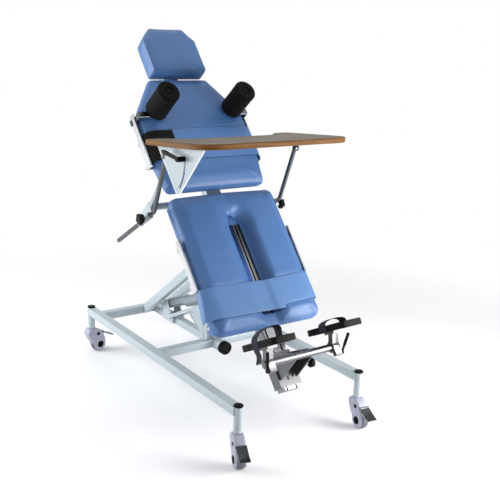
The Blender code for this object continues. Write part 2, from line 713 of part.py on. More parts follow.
def build_tray_carrier(table):
    """A cross tube under the hip gap with a plate and a clamp sleeve at each end."""
    half = TRAY_TUBE_HALF
    front, back = TRAY_TUBE_S - 0.044, TRAY_TUBE_S + half + 0.004
    across = (TRAY_TUBE_S - half, TRAY_TUBE_S + half)
    through = (TRAY_TUBE_K - half, TRAY_TUBE_K + half)
    reach = CARRIER_X[0] + 0.002
    carrier = piece("tray_carrier", square_tube((across, through), 0, -reach, reach), PAINT, table)
    bottom, top = through[0] - 0.067, through[1] + 0.007
    plate = [(front + 0.006, bottom), (back - 0.010, bottom), (back, through[0]), (back, top - 0.004)]
    plate += [(back - 0.004, top), (front, top)]
    inner = ARM_RADIUS + BORE_CLEARANCE
    for side in (-1, 1):
        low, high = sorted(side * x for x in CARRIER_X)
        join(carrier, prism(plate, low, high, "X"))
        x = side * ARM_X
        start, end = along_arm(x, CLAMP_SPAN[0]), along_arm(x, CLAMP_SPAN[1])
        join(carrier, cylinder(start, end, CLAMP_RADIUS, 18, 0.002))
        join(carrier, cylinder(knob_point(side * (ARM_X + 0.008)), knob_point(side * KNOB_X), 0.010, 12))
        start, end = along_arm(x, CLAMP_SPAN[0] - 0.01), along_arm(x, CLAMP_SPAN[1] + 0.01)
        cut(carrier, cylinder(start, end, inner, 16))


def along_arm(x, reach):
    """A point of the tray arm's straight lower part, that far up from its elbow."""
    elbow_s, elbow_k = ARM_ELBOW
    return (x, elbow_s - reach * math.sin(ARM_LEAN), elbow_k + reach * math.cos(ARM_LEAN))


def knob_point(x):
    """A point on the clamp knob's axis, which crosses the sleeve in front of the arm."""
    x, s, k = along_arm(x, KNOB_DROP)
    return (x, s + KNOB_OFFSET, k)


def build_cushions(table):
    side_rings = [(0.0060, -CUSHION), (0.0015, -CUSHION + 0.003), (0.0, -CUSHION + 0.010)]
    rings = side_rings + list(SOFT_EDGE) + [(0.0520, CROWN)]
    corners = [(-LEG_HALF, 0), (-SLOT_HALF, 0), (-SLOT_HALF, SLOT_TOP)]
    corners += [(SLOT_HALF, SLOT_TOP), (SLOT_HALF, 0)]
    corners += [(LEG_HALF, 0), (LEG_HALF, LEG_LENGTH), (-LEG_HALF, LEG_LENGTH)]
    radii = (0.045, 0.020, SLOT_HALF - 0.0005, SLOT_HALF - 0.0005, 0.020, 0.045, 0.045, 0.045)
    piece("leg_cushion", cushion(corners, radii, rings), VINYL, table)
    piece("back_cushion", cushion(*back_outline(), rings), VINYL, table)
    start, chamfer, end = HEAD_S
    crown = HEAD_HALF - 0.056
    corners = [(-HEAD_HALF, start), (HEAD_HALF, start), (HEAD_HALF, chamfer), (crown, end), (-crown, end)]
    corners += [(-HEAD_HALF, chamfer)]
    floor, roof = HEAD_K
    rings = [(0.0050, floor), (0.0012, floor + 0.003), (0.0, floor + 0.012), (0.0, roof - 0.020)]
    rings += [(0.0020, roof - 0.008), (0.0042, roof - 0.0065)]
    rings += [(0.0044, roof - 0.0040), (0.0090, roof - 0.0010)]
    rings += [(0.0220, roof + 0.0015), (0.0450, roof + 0.0030)]
    radii = (0.012, 0.012, 0.015, 0.015, 0.015, 0.015)
    piece("head_cushion", cushion(corners, radii, rings), VINYL, table)


def cushion(corners, radii, rings):
    """A stuffed block: an outline drawn in ring by ring, up the sides and over the border."""
    shape = bmesh.new()
    loops = []
    for inset, height in rings:
        loops.append([shape.verts.new((x, y, height)) for x, y in rounded(corners, radii, inset, 3)])
    skin(shape, loops)
    return shape


def over_edge(half):
    """Points of a band coming up a cushion's right side and over its soft edge, seen along s."""
    points = [(half + 2 * GAP, -CUSHION + 0.002), (half + 2 * GAP, SOFT_EDGE[0][1])]
    points += [(half - inset + GAP, k + 2 * GAP) for inset, k in SOFT_EDGE[1:]]
    points.append((half - 0.0520, CROWN + GAP))
    return points


def mirrored(points):
    return [(-x, k) for x, k in points]


def band(line, depth, span):
    return prism(ribbon(line, depth), *span, "Y")


def build_straps(table):
    start, end = CHEST_STRAP_S
    edge = over_edge(BACK_HALF)
    seam = -0.155
    top = CROWN + GAP
    line = mirrored(edge) + [(seam - 0.001, top)]
    elastic = band(line, STRAP_DEPTH, (start + 0.005, end - 0.005))
    piece("chest_strap_elastic", elastic, ELASTIC, table).data.shade_flat()
    line = [(seam, top)] + edge[::-1]
    piece("chest_strap", band(line, STRAP_DEPTH, CHEST_STRAP_S), VINYL, table)
    edge = over_edge(LEG_HALF)
    start, end = LEG_STRAP_S
    strap = piece("leg_strap", band(mirrored(edge) + edge[::-1], STRAP_DEPTH, LEG_STRAP_S), VINYL, table)
    flap = [(0.095, top + 0.002)] + [(x + 0.0015, k + 0.002) for x, k in edge[:1:-1]]
    flap.append((edge[1][0] + 0.0025, edge[1][1] - 0.006))
    join(strap, band(flap, STRAP_DEPTH + 0.0005, (start + 0.004, end - 0.004)))


def build_accessory_rails(table):
    low = {"x": LEG_RAIL_X, "span": LEG_RAIL_S, "lugs": (0.250, 0.430), "bottom": LEG_RAIL_BOTTOM}
    low["root_x"] = SIDE_BAR_X[1] + SEAT
    high = {"x": BACK_RAIL_X, "span": BACK_RAIL_S, "lugs": BACK_BAR_S, "bottom": BACK_RAIL_BOTTOM}
    high["root_x"] = BACK_BAR_HALF + SEAT
    for side, label in ((-1, "left"), (1, "right")):
        rail("leg_rail_" + label, side, table, **low)
        rail("back_rail_" + label, side, table, **high)


def rail(name, side, table, x, span, lugs, root_x, bottom):
    """A flat accessory bar held off the frame by two angled lugs."""
    limits = sorted((side * x, side * (x + RAIL_BAR)))
    bar = piece(name, box(limits, span, (bottom, -0.024), 0.0012), STEEL, table)
    for s in lugs:
        foot = sorted((side * root_x, side * (x + RAIL_BAR - 0.002)))
        join(bar, box(foot, (s - 0.010, s + 0.010), (bottom - 0.016, bottom - 0.010)))
        leg = sorted((side * (x + 0.001), side * (x + RAIL_BAR - 0.002)))
        join(bar, box(leg, (s - 0.0095, s + 0.0095), (bottom - 0.0158, bottom + 0.004)))


def build_rollers(table):
    for side, label in ((-1, "left"), (1, "right")):
        x = side * ROLLER_X
        bar_k = (CROWN + 0.0035, CROWN + 0.0095)
        wall_x = (BACK_HALF + 0.0030, BACK_RAIL_X - SEAT)
        outside = BACK_RAIL_X + RAIL_BAR + SEAT
        floor = BACK_RAIL_BOTTOM - SEAT
        start, end = ROLLER_S - 0.030, ROLLER_S
        arm = box(sorted((x, side * (wall_x[1] - 0.0002))), (start, end), bar_k, 0.0012)
        bracket = piece(f"roller_bracket_{label}", arm, STEEL, table)
        join(bracket, cylinder((x, ROLLER_S, bar_k[0]), (x, ROLLER_S, bar_k[1]), 0.026, 16))
        wall_k = (floor - 0.0065, bar_k[1] - 0.001)
        wall = box(sorted(side * edge for edge in wall_x), (start + 0.0005, end - 0.0005), wall_k)
        under = sorted((side * (wall_x[0] + 0.0005), side * (outside + 0.003)))
        hook = box(under, (start + 0.001, end - 0.001), (floor - 0.006, floor))
        lip_x = sorted((side * outside, side * (outside + 0.0028)))
        lip = box(lip_x, (start + 0.0015, end - 0.0015), (floor - 0.0055, BACK_RAIL_BOTTOM + 0.010))
        pin = cylinder((x, ROLLER_S, bar_k[0] + 0.002), (x, ROLLER_S, ROLLER_K[1] - 0.006), PIN_RADIUS, 12)
        join(bracket, wall, hook, lip, pin)
        low, high = ROLLER_K
        hole = PIN_RADIUS + BORE_CLEARANCE
        foam = [(hole, low), (ROLLER_RADIUS - 0.008, low), (ROLLER_RADIUS - 0.002, low + 0.004)]
        foam += [(ROLLER_RADIUS, low + 0.011), (ROLLER_RADIUS, high - 0.014)]
        foam.append((ROLLER_RADIUS - 0.003, high - 0.005))
        foam += [(ROLLER_RADIUS - 0.009, high), (0.022, high), (0.019, high - 0.003), (hole, high - 0.003)]
        piece(f"foam_roller_{label}", lathe(foam, 20), FOAM, table, (x, ROLLER_S, 0))


def build_tray_arms(table):
    pivot = (TRAY_PIVOT_S, TRAY_PIVOT_K)
    turn = TRAY_RISE + TILT
    for side, label in ((-1, "left"), (1, "right")):
        points = [along_arm(0, -ARM_REACH), (0, *ARM_ELBOW), (0, *pivot)]
        tube = pipe(points, 0.026, ARM_RADIUS)
        arm = piece(f"tray_arm_{label}", tube, CHROME, table, (side * ARM_X, 0, 0))
        local = Matrix.Translation((0, *pivot)) @ Matrix.Rotation(-turn, 4, "X")
        outline = circle((0, 0), 0.013, 0, 342, 19)
        if side < 0:
            outline = circle((0, 0), 0.015, -90, 90, 6) + circle((-SLOT_RADIUS, 0.0), 0.011, 90, 270, 6)
        join(arm, turned(prism(outline, -0.0055, 0.0055, "X"), local))
        outer = (PLATE_X if side < 0 else EAR_X)[1] - ARM_X
        pin = cylinder((0, 0, 0), (side * (outer + 0.005), 0, 0), 0.006, 16)
        cap = cylinder((side * (outer + 0.001), 0, 0), (side * (outer + 0.006), 0, 0), 0.010, 20, 0.001)
        join(arm, turned(pin, local), turned(cap, local))


def build_tray(table):
    axis = anchor("tray_axis", table, (0, TRAY_PIVOT_S, TRAY_PIVOT_K), (-TILT - TRAY_RISE, 0, 0))
    front, back = TRAY_Y
    corners = [(-TRAY_HALF, front), (TRAY_HALF, front), (TRAY_HALF, back)]
    inner, outer = TRAY_BITE_X
    corners += [(outer, back), (inner, back - TRAY_BITE)]
    corners += [(-inner, back - TRAY_BITE), (-outer, back), (-TRAY_HALF, back)]
    radii = (0.110, 0.110, 0.028, 0.030, 0.060, 0.060, 0.030, 0.028)
    outline = rounded(corners, radii, 0.0, 7)
    top = prism(outline, TRAY_Z[0], TRAY_Z[1], "Z", 0.003)
    piece("tray_top", top, LAMINATE, axis)
    build_tray_guide(axis)
    build_tray_hinge(axis)
    build_tray_lever(table)


def build_tray_guide(axis):
    """The pointed plate under the tray's left side, with the curved slot that its lever clamps."""
    top = TRAY_Z[0] - GAP
    corners = [(GUIDE_Y[1], top), (GUIDE_Y[0], top), GUIDE_TIP]
    low, high = -PLATE_X[1], -PLATE_X[0]
    plate = prism(rounded(corners, (0.004, 0.004, 0.020), 0.0, 6), low, high, "X")
    guide = piece("tray_side_plate", plate, PAINT, axis)
    start, end = SLOT_SWEEP
    slot = circle((0, 0), SLOT_RADIUS + 0.005, start, end, 14)
    slot += circle((0, 0), SLOT_RADIUS - 0.005, end, start, 14)
    cut(guide, prism(slot, low - 0.01, high + 0.01, "X"))
    cut(guide, cylinder((low - 0.01, 0, 0), (high + 0.01, 0, 0), 0.006 + BORE_CLEARANCE, 20))


def build_tray_hinge(axis):
    """The small bracket under the tray's right side: a foot on the board and an ear on the arm's pin."""
    top = TRAY_Z[0] - GAP
    low, high = EAR_X
    ear = [(-0.016, top), (-0.016, -0.004), (-0.008, -0.013), (0.008, -0.013), (0.016, -0.004), (0.016, top)]
    hinge = piece("tray_hinge_right", prism(ear, low, high, "X"), PAINT, axis)
    join(hinge, box((low + 0.0005, high + 0.022), (-0.028, 0.028), (top - 0.003, top - 0.0001)))
    cut(hinge, cylinder((low - 0.01, 0, 0), (high + 0.01, 0, 0), 0.006 + BORE_CLEARANCE, 20))


def build_tray_lever(table):
    """A handle on a long hub that clamps the left arm's bar against the slotted plate."""
    turn = -TILT - TRAY_RISE
    offset = Matrix.Rotation(turn, 2) @ Vector((-SLOT_RADIUS, 0))
    place = (-ARM_X, TRAY_PIVOT_S + offset.x, TRAY_PIVOT_K + offset.y)
    inner = PLATE_X[1] + 0.0015 - ARM_X
    hub = cylinder((-inner, 0, 0), (-inner - 0.040, 0, 0), 0.011, 16, 0.0015)
    lever = piece("tray_lever", hub, BLACK, table, place, (turn + LEVER_RISE, 0, 0))
    grip = [(0.0, -0.006), (0.112, -0.008), (0.124, -0.004), (0.124, 0.005), (0.112, 0.009), (0.0, 0.007)]
    join(lever, prism(grip, -inner - 0.038, -inner - 0.026, "X", 0.002))
    join(lever, cylinder((-0.0055 - GAP, 0, 0), (-inner - 0.004, 0, 0), 0.004, 12))


def build_knobs(table):
    for side, label in ((-1, "left"), (1, "right")):
        lobes = []
        for step in range(40):
            angle = math.tau * step / 40
            radius = 0.0235 + 0.0025 * math.cos(5 * angle)
            lobes.append((radius * math.cos(angle), radius * math.sin(angle)))
        low, high = sorted((side * 0.008, side * 0.030))
        place = knob_point(side * (KNOB_X + GAP))
        knob = piece(f"arm_knob_{label}", prism(lobes, low, high, "X", 0.003), BLACK, table, place)
        join(knob, cylinder((0, 0, 0), (side * 0.010, 0, 0), 0.008, 12))


def build_foot_carriage(table):
    carriage = anchor("foot_slide", table, (0, BAR_S, 0))
    top = -CUSHION + GAP
    span = (-0.265 - BAR_S, -0.110 - BAR_S)
    wide = COLUMN_HALF + GAP + 0.006
    plate = box((-wide, wide), span, (top, top + 0.006), 0.001)
    slide = piece("foot_carriage", plate, STEEL, carriage)
    for side in (-1, 1):
        cheek = sorted((side * (COLUMN_HALF + GAP), side * (wide - 0.0002)))
        join(slide, box(cheek, (span[0] + 0.001, span[1] - 0.001), (top - 0.048, top + 0.003)))
        gusset = [(span[0] + 0.030, top + 0.003), (span[1] - 0.012, top + 0.003), (0.022, BAR_K - 0.004)]
        gusset += [(0.0, BAR_K + 0.018), (-0.020, BAR_K - 0.004)]
        low, high = sorted((side * 0.041, side * 0.047))
        join(slide, prism(gusset, low, high, "X"))
    for x, s in ((0.0, -0.232), (0.028, -0.225), (-0.028, -0.225)):
        join(slide, cylinder((x, s - BAR_S, top + 0.004), (x, s - BAR_S, top + 0.012), 0.0075, 6))
    join(slide, cylinder((-BAR_HALF, 0, BAR_K), (BAR_HALF, 0, BAR_K), BAR_RADIUS, 20, 0.002))
    stud = cylinder((0.044, -0.030, 0.040), (0.066, -0.030, 0.040), 0.005, 12)
    join(slide, stud)
    knob = cylinder((0.008 + GAP, 0, 0), (0.030, 0, 0), 0.020, 20, 0.003)
    clamp = piece("carriage_knob", knob, BLACK, carriage, (0.058, -0.030, 0.040))
    cut(clamp, cylinder((0.0, 0, 0), (0.012, 0, 0), 0.005 + BORE_CLEARANCE, 12))
    return carriage


def build_feet(carriage):
    """Each foot: a clamp on the crossbar, its lever, the foot plate and the strap over it."""
    for side, label in ((-1, "left"), (1, "right")):
        hinge = anchor(f"foot_hinge_{label}", carriage, (side * CLAMP_X, 0, BAR_K))
        centre = Vector((0, FOOT_S - BAR_S, FOOT_K - BAR_K))
        pitch = -TILT - FOOT_PITCH
        sole = anchor(f"foot_sole_{label}", hinge, centre, (pitch, 0, 0))
        toe = anchor(f"foot_toe_{label}", sole, (0, 0, 0), (0, 0, side * TOE_OUT))
        build_clamp(label, side, hinge, centre, pitch)
        build_foot_plate(label, toe)
        build_foot_strap(label, side, toe)


def build_clamp(label, side, hinge, centre, pitch):
    half = 0.018
    ring = cylinder((-half, 0, 0), (half, 0, 0), 0.024, 20, 0.001)
    clamp = piece(f"foot_clamp_{label}", ring, ALUMINIUM, hinge)
    normal = Matrix.Rotation(pitch, 3, "X") @ Vector((0, 0, 1))
    under = centre - normal * (FOOT_DEPTH / 2 + GAP)
    neck_centre = under / 2
    neck = box((-0.016, 0.016), (-0.014, 0.014), (-under.length / 2, under.length / 2 - 0.006))
    lean = Vector((0, 0, 1)).rotation_difference(under.normalized()).to_matrix().to_4x4()
    join(clamp, turned(neck, Matrix.Translation(neck_centre) @ lean))
    pad = box((-0.024, 0.024), (-0.032, 0.032), (-0.010, 0.0))
    join(clamp, turned(pad, Matrix.Translation(under) @ Matrix.Rotation(pitch, 4, "X")))
    ear_half = 0.0175
    ear = box((-ear_half, ear_half), (-0.042, -0.010), (0.000, 0.021), 0.001)
    join(clamp, ear)
    cut(clamp, cylinder((-half - 0.01, 0, 0), (half + 0.01, 0, 0), BAR_RADIUS + BORE_CLEARANCE, 20))
    place = (side * (ear_half + SEAT), -0.033, 0.011)
    hub = cylinder((0, 0, 0), (side * 0.012, 0, 0), 0.009, 14, 0.001)
    lever = piece(f"foot_lever_{label}", hub, BLACK, hinge, place)
    tip = Vector((side * 0.022, 0.058, 0.066))
    join(lever, cylinder((side * 0.006, 0, 0), tip, 0.0050, 12, 0.001))
    join(lever, cylinder(tip * 0.35 + Vector((side * 0.004, 0, 0)), tip * 1.02, 0.0066, 12, 0.002))


def build_foot_plate(label, toe):
    """A moulded sole with a raised rim and a rounded heel; toes toward -Y."""
    half = FOOT_WIDTH / 2
    reach = FOOT_LENGTH / 2
    corners = [(-half, -reach), (half, -reach), (half, reach), (-half, reach)]
    radii = (0.022, 0.022, half - 0.002, half - 0.002)
    sole = prism(rounded(corners, radii, 0.0, 6), -FOOT_DEPTH / 2, FOOT_DEPTH / 2, "Z", 0.002)
    plate = piece(f"foot_plate_{label}", sole, BLACK, toe)
    inside = rounded(corners, radii, 0.007, 6)
    cut(plate, prism(inside, 0.0, FOOT_DEPTH, "Z"))


def build_foot_strap(label, side, toe):
    half = FOOT_WIDTH / 2 + SEAT
    rise = 0.050 if side < 0 else 0.022
    arch = [(-half, -0.010), (-half, FOOT_DEPTH / 2)]
    for step in range(1, 12):
        angle = math.pi * (1 - step / 12)
        arch.append((half * math.cos(angle), FOOT_DEPTH / 2 + rise * math.sin(angle) ** 0.8))
    arch += [(half, FOOT_DEPTH / 2), (half, -0.010)]
    band = prism(ribbon(arch, 0.003), -0.030, 0.012, "Y")
    strap = piece(f"foot_strap_{label}", band, WEBBING, toe)
    if side < 0:
        tail = [(-half - 0.0025, 0.000), (-half - 0.004, -0.020)]
        tail += [(-half + 0.004, -0.045), (-half - 0.010, -0.075)]
        join(strap, prism(ribbon(tail, -0.003), -0.028, 0.010, "Y"))


def build_actuator(root):
    """A linear drive: housing, motor and outer tube in one body, and the rod that slides in the tube."""
    pivot = Vector(in_world(PIVOT_S, PIVOT_K))
    lever = Vector(in_world(LEVER_S, LEVER_K))
    base = Vector((ACTUATOR_Y, ACTUATOR_Z))
    heading = math.atan2(lever.y - base.y, lever.x - base.x)
    axis = anchor("actuator_axis", root, (0, ACTUATOR_Y, ACTUATOR_Z), (heading, 0, 0))
    case = cylinder((0, -0.024, 0), (0, 0.190, 0), CASE_RADIUS, 24, 0.004)
    body = piece("actuator_body", case, HOUSING, axis)
    join(body, cylinder((0, 0.180, 0), (0, 0.500, 0), SLEEVE_RADIUS, 20, 0.0015))
    join(body, cylinder((0, 0.160, 0.010), (0, 0.360, 0.010), MOTOR_RADIUS, 24, 0.008))
    cut(body, cylinder((0, 0.192, 0), (0, 0.520, 0), ROD_RADIUS + BORE_CLEARANCE, 20))
    cut(body, cylinder((-0.040, 0, 0), (0.040, 0, 0), 0.008 + BORE_CLEARANCE, 20))
    reach = (lever - base).length
    rod = cylinder((0, reach - ROD_LENGTH, 0), (0, reach - 0.010, 0), ROD_RADIUS, 20, 0.001)
    shaft = piece("actuator_rod", rod, CHROME, axis)
    join(shaft, cylinder((-0.012, reach, 0), (0.012, reach, 0), 0.017, 20, 0.001))
    cut(shaft, cylinder((-0.020, reach, 0), (0.020, reach, 0), 0.0085, 20))


def build():
    clear_scene()
    root = anchor("table_centre", None, (CENTRE_X, CENTRE_Y, 0))
    build_base(root)
    build_pivot_frame(root)
    build_casters(root)
    build_actuator(root)
    tilt_axis = anchor("tilt_axis", root, (0, *in_world(PIVOT_S, PIVOT_K)), (TILT, 0, 0))
    table = anchor("table_coordinates", tilt_axis, (0, -PIVOT_S, -PIVOT_K))
    build_table_frame(table)
    build_cushions(table)
    build_straps(table)
    build_accessory_rails(table)
    build_rollers(table)
    build_tray_arms(table)
    build_tray(table)
    build_knobs(table)
    build_feet(build_foot_carriage(table))


build()
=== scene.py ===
import json
import math

import bmesh
import bpy
import numpy as np
from mathutils import Matrix, Vector


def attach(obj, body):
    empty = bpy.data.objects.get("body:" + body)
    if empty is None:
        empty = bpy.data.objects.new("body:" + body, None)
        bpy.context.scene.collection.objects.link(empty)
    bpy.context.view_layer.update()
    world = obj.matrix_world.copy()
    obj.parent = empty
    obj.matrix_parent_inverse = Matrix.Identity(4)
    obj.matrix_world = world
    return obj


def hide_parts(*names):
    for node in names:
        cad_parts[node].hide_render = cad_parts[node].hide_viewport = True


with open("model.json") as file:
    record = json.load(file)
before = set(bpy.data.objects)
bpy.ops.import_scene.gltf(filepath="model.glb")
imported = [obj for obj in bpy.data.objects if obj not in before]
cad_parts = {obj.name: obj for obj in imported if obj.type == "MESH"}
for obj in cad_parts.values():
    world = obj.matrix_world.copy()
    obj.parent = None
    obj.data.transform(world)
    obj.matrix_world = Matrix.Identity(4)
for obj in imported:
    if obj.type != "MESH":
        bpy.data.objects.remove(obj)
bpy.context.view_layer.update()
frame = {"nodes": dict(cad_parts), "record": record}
scene = bpy.context.scene
print("frame loaded")

# Places that the whole file shares. s runs up the bed from its foot edge, k stands out of the cushions.
bed = {
    "centre": (-0.0151, 0.04235),
    "foot": (-0.4693, 0.4677),  # y and z of the foot edge before centring
    "tilt": math.radians(50),
    "cushion": 0.047,
    "crown": 0.0065,
    "legHalf": 0.285,
    "backHalf": 0.290,
    "trayRise": math.radians(4.6),
    # How far the border of a pad is drawn in at each height, up to its crown.
    "softEdge": [(0.0015, -0.0190), (0.0065, -0.0105), (0.0150, -0.0035), (0.0260, 0.0015), (0.0400, 0.0050),
                 (0.0520, 0.0065)],
}


# From (x, s, k) to the world: turned by the tilt about X, then moved to the bed's foot edge.
def fromBed(points):
    points = np.asarray(points, float)
    cosine, sine = math.cos(bed["tilt"]), math.sin(bed["tilt"])
    x, s, k = points[..., 0], points[..., 1], points[..., 2]
    y = bed["foot"][0] + bed["centre"][1] + s * cosine - k * sine
    z = bed["foot"][1] + s * sine + k * cosine
    return np.stack([x + bed["centre"][0], y, z], axis=-1)


# The same turned round: from the world to (x, s, k).
def toBed(points):
    points = np.asarray(points, float)
    cosine, sine = math.cos(bed["tilt"]), math.sin(bed["tilt"])
    y = points[..., 1] - bed["foot"][0] - bed["centre"][1]
    z = points[..., 2] - bed["foot"][1]
    return np.stack([points[..., 0] - bed["centre"][0], y * cosine + z * sine, z * cosine - y * sine], axis=-1)


# A place measured as the CAD's source has it, before centring: moved by the centre in x and y.
def centred(x, y, z):
    return x + bed["centre"][0], y + bed["centre"][1], z


# A frame of three axes and an origin as a function: local (a, b, c) goes to origin + a*first + b*second + c*third.
def placedBy(origin, first=(1, 0, 0), second=(0, 1, 0), third=(0, 0, 1)):
    axes = np.array([first, second, third], float)
    return lambda points: np.asarray(origin, float) + np.asarray(points, float) @ axes


# Quads between neighbouring rows and columns of a grid, joined end to end where a direction is closed.
def gridFaces(rows, columns, closedRows=False, closedColumns=False):
    row = np.arange(rows if closedRows else rows - 1)
    column = np.arange(columns if closedColumns else columns - 1)
    a, b = np.meshgrid(row, column, indexing="ij")
    nextA, nextB = (a + 1) % rows, (b + 1) % columns
    corners = [a * columns + b, nextA * columns + b, nextA * columns + nextB, a * columns + nextB]
    return np.stack(corners, axis=-1).reshape(-1, 4)


# Faces of a tube of rows and columns of points, each end closed by one face.
def tubeFaces(rows, columns):
    faces = gridFaces(rows, columns, closedColumns=True).tolist()
    return faces + [list(range(columns))[::-1], list(range((rows - 1) * columns, rows * columns))]


# A wave drawn toward a square one as the power falls from 1: its sign times its size to that power.
def squared(wave, power):
    return np.sign(wave) * np.abs(wave) ** power


def newMesh(name, points, faces):
    mesh = bpy.data.meshes.new(name)
    mesh.from_pydata(np.asarray(points).reshape(-1, 3).tolist(), [], [list(face) for face in faces])
    return mesh


# A finished object from points and faces: doubles merged unless merge is 0, faces turned outwards.
def asPiece(name, points, faces, material, body, stands=(), sharp=38, uvs=None, merge=1e-6):
    mesh = newMesh(name, points, faces)
    if uvs is not None:
        layer = mesh.uv_layers.new(name="UVMap")
        corner = np.zeros(len(mesh.loops), np.int32)
        mesh.loops.foreach_get("vertex_index", corner)
        layer.data.foreach_set("uv", np.asarray(uvs, np.float32).reshape(-1, 2)[corner].ravel())
    tidyMesh(mesh, merge)
    return finished(mesh, name, sharp, material, body, stands)


# Smooth shading up to the sharp angle in degrees, then the object itself.
def finished(mesh, name, sharp, material, body, stands):
    mesh.shade_smooth()
    mesh.set_sharp_from_angle(angle=math.radians(sharp))
    return asObject(name, mesh, material, body, stands)


# A mesh opened for editing, changed by one function and closed again.
def reshaped(mesh, change):
    shape = bmesh.new()
    shape.from_mesh(mesh)
    change(shape)
    shape.to_mesh(mesh)
    shape.free()


def tidyMesh(mesh, merge):
    def change(shape):
        if merge:
            bmesh.ops.remove_doubles(shape, verts=shape.verts, dist=merge)
            bmesh.ops.dissolve_degenerate(shape, edges=shape.edges, dist=merge)
        bmesh.ops.recalc_face_normals(shape, faces=shape.faces)

    reshaped(mesh, change)


# A copy of a CAD node's mesh with its doubles merged and its stored normals dropped.
def mergedCopy(node, dissolve=False):
    def change(shape):
        bmesh.ops.remove_doubles(shape, verts=shape.verts, dist=2e-6)
        if dissolve:
            bmesh.ops.dissolve_limit(shape, angle_limit=math.radians(1), verts=shape.verts, edges=shape.edges)

    mesh = frame["nodes"][node].data.copy()
    reshaped(mesh, change)
    if "custom_normal" in mesh.attributes:
        mesh.attributes.remove(mesh.attributes["custom_normal"])
    return mesh


# A new object at the origin, unscaled, linked to the scene.
def newObject(name, data):
    made = bpy.data.objects.new(name, data)
    scene.collection.objects.link(made)
    return made


def asObject(name, mesh, material, body, stands):
    piece = newObject(name, mesh)
    if material:
        mesh.materials.append(material)
    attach(piece, body)
    if stands:
        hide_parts(*stands)
    return piece


# A turned form: the profile's radius spins about the local Z axis, angle by angle, at the profile's height.
def turnedGrid(profile, steps):
    profile = np.asarray(profile, float)
    angle = np.linspace(0, 2 * math.pi, steps, endpoint=False)
    radius, height = profile[:, 0][:, None], profile[:, 1][:, None]
    points = [radius * np.cos(angle), radius * np.sin(angle), height + 0 * angle]
    return np.stack(points, axis=-1), gridFaces(len(profile), steps, closedColumns=True)


# A smooth line through corner points: each corner becomes an arc of the given radius, then evenly sampled.
def easedLine(corners, radius, spacing):
    corners = np.asarray(corners, float)
    pieces = [corners[:1]]
    for before, corner, after in zip(corners[:-2], corners[1:-1], corners[2:]):
        back, ahead = before - corner, after - corner
        backLength, aheadLength = np.linalg.norm(back), np.linalg.norm(ahead)
        reach = min(radius, backLength * 0.48, aheadLength * 0.48)
        first, last = corner + back / backLength * reach, corner + ahead / aheadLength * reach
        t = np.linspace(0, 1, 9)[:, None]
        pieces.append((1 - t) ** 2 * first + 2 * t * (1 - t) * corner + t**2 * last)
    pieces.append(corners[-1:])
    line = np.concatenate(pieces)
    length = np.concatenate([[0], np.cumsum(np.linalg.norm(np.diff(line, axis=0), axis=1))])
    count = max(int(length[-1] / spacing) + 1, 2)
    even = np.linspace(0, length[-1], count)
    return np.stack([np.interp(even, length, line[:, axis]) for axis in range(line.shape[1])], axis=-1), even


# The unit direction of a line at each of its points, from the points before and after.
def directions(line):
    ahead = np.gradient(line, axis=0)
    return ahead / np.linalg.norm(ahead, axis=1, keepdims=True)


# Sum of sine waves in random directions, about -1 to 1: gentle dents that stay the same each run.
def softNoise(points, wavelength, seed, waves=22):
    rng = np.random.default_rng(seed)
    pull = rng.normal(size=(waves, 3))
    pull *= 2 * math.pi / wavelength * rng.uniform(0.7, 1.4, (waves, 1)) / np.linalg.norm(pull, axis=1, keepdims=True)
    phase = rng.uniform(0, 2 * math.pi, waves)
    return np.sin(points @ pull.T + phase).sum(axis=1) / math.sqrt(waves) * 0.8


# An input gets its value, or a link where the value is another node's output.
def feed(tree, inputs, socket, value):
    if isinstance(value, bpy.types.NodeSocket):
        tree.links.new(value, inputs[socket])
    else:
        inputs[socket].default_value = value


# A new node: its settings first, then its inputs.
def addNode(tree, kind, values=None, **settings):
    made = tree.nodes.new(kind)
    for label, value in settings.items():
        setattr(made, label, value)
    for socket, value in (values or {}).items():
        feed(tree, made.inputs, socket, value)
    return made


def calculate(tree, operation, *values):
    return addNode(tree, "ShaderNodeMath", dict(enumerate(values)), operation=operation).outputs[0]


def mapped(tree, value, low, high, toLow=0.0, toHigh=1.0):
    values = {"Value": value, "From Min": low, "From Max": high, "To Min": toLow, "To Max": toHigh}
    return addNode(tree, "ShaderNodeMapRange", values).outputs[0]


# Noise of that scale and detail, about 0 to 1.
def addNoise(tree, place, scale, detail, distortion=0.0):
    values = {"Vector": place, "Scale": scale, "Detail": detail, "Distortion": distortion}
    return addNode(tree, "ShaderNodeTexNoise", values).outputs[0]


# Two colours or two numbers blended: the Mix node has its own pair of sockets for each kind.
def blended(tree, factor, first, second, kind="RGBA"):
    start, output = (6, 2) if kind == "RGBA" else (2, 0)
    values = {0: factor, start: first, start + 1: second}
    return addNode(tree, "ShaderNodeMix", values, data_type=kind).outputs[output]


# A node group: first the place on the surface, then the other inputs with their usual values, and its outputs.
def newGroup(name, inputs, *outputs):
    group = bpy.data.node_groups.new(name, "ShaderNodeTree")
    for label, value in {"Vector": (0.0, 0.0, 0.0), **inputs}.items():
        kind = "Float" if isinstance(value, float) else {3: "Vector", 4: "Color"}[len(value)]
        socket = group.interface.new_socket(name=label, in_out="INPUT", socket_type="NodeSocket" + kind)
        socket.default_value = value
    for label in outputs:
        kind = "Color" if label == "Colour" else "Float"
        group.interface.new_socket(name=label, in_out="OUTPUT", socket_type="NodeSocket" + kind)
    return group, group.nodes.new("NodeGroupInput").outputs, group.nodes.new("NodeGroupOutput").inputs


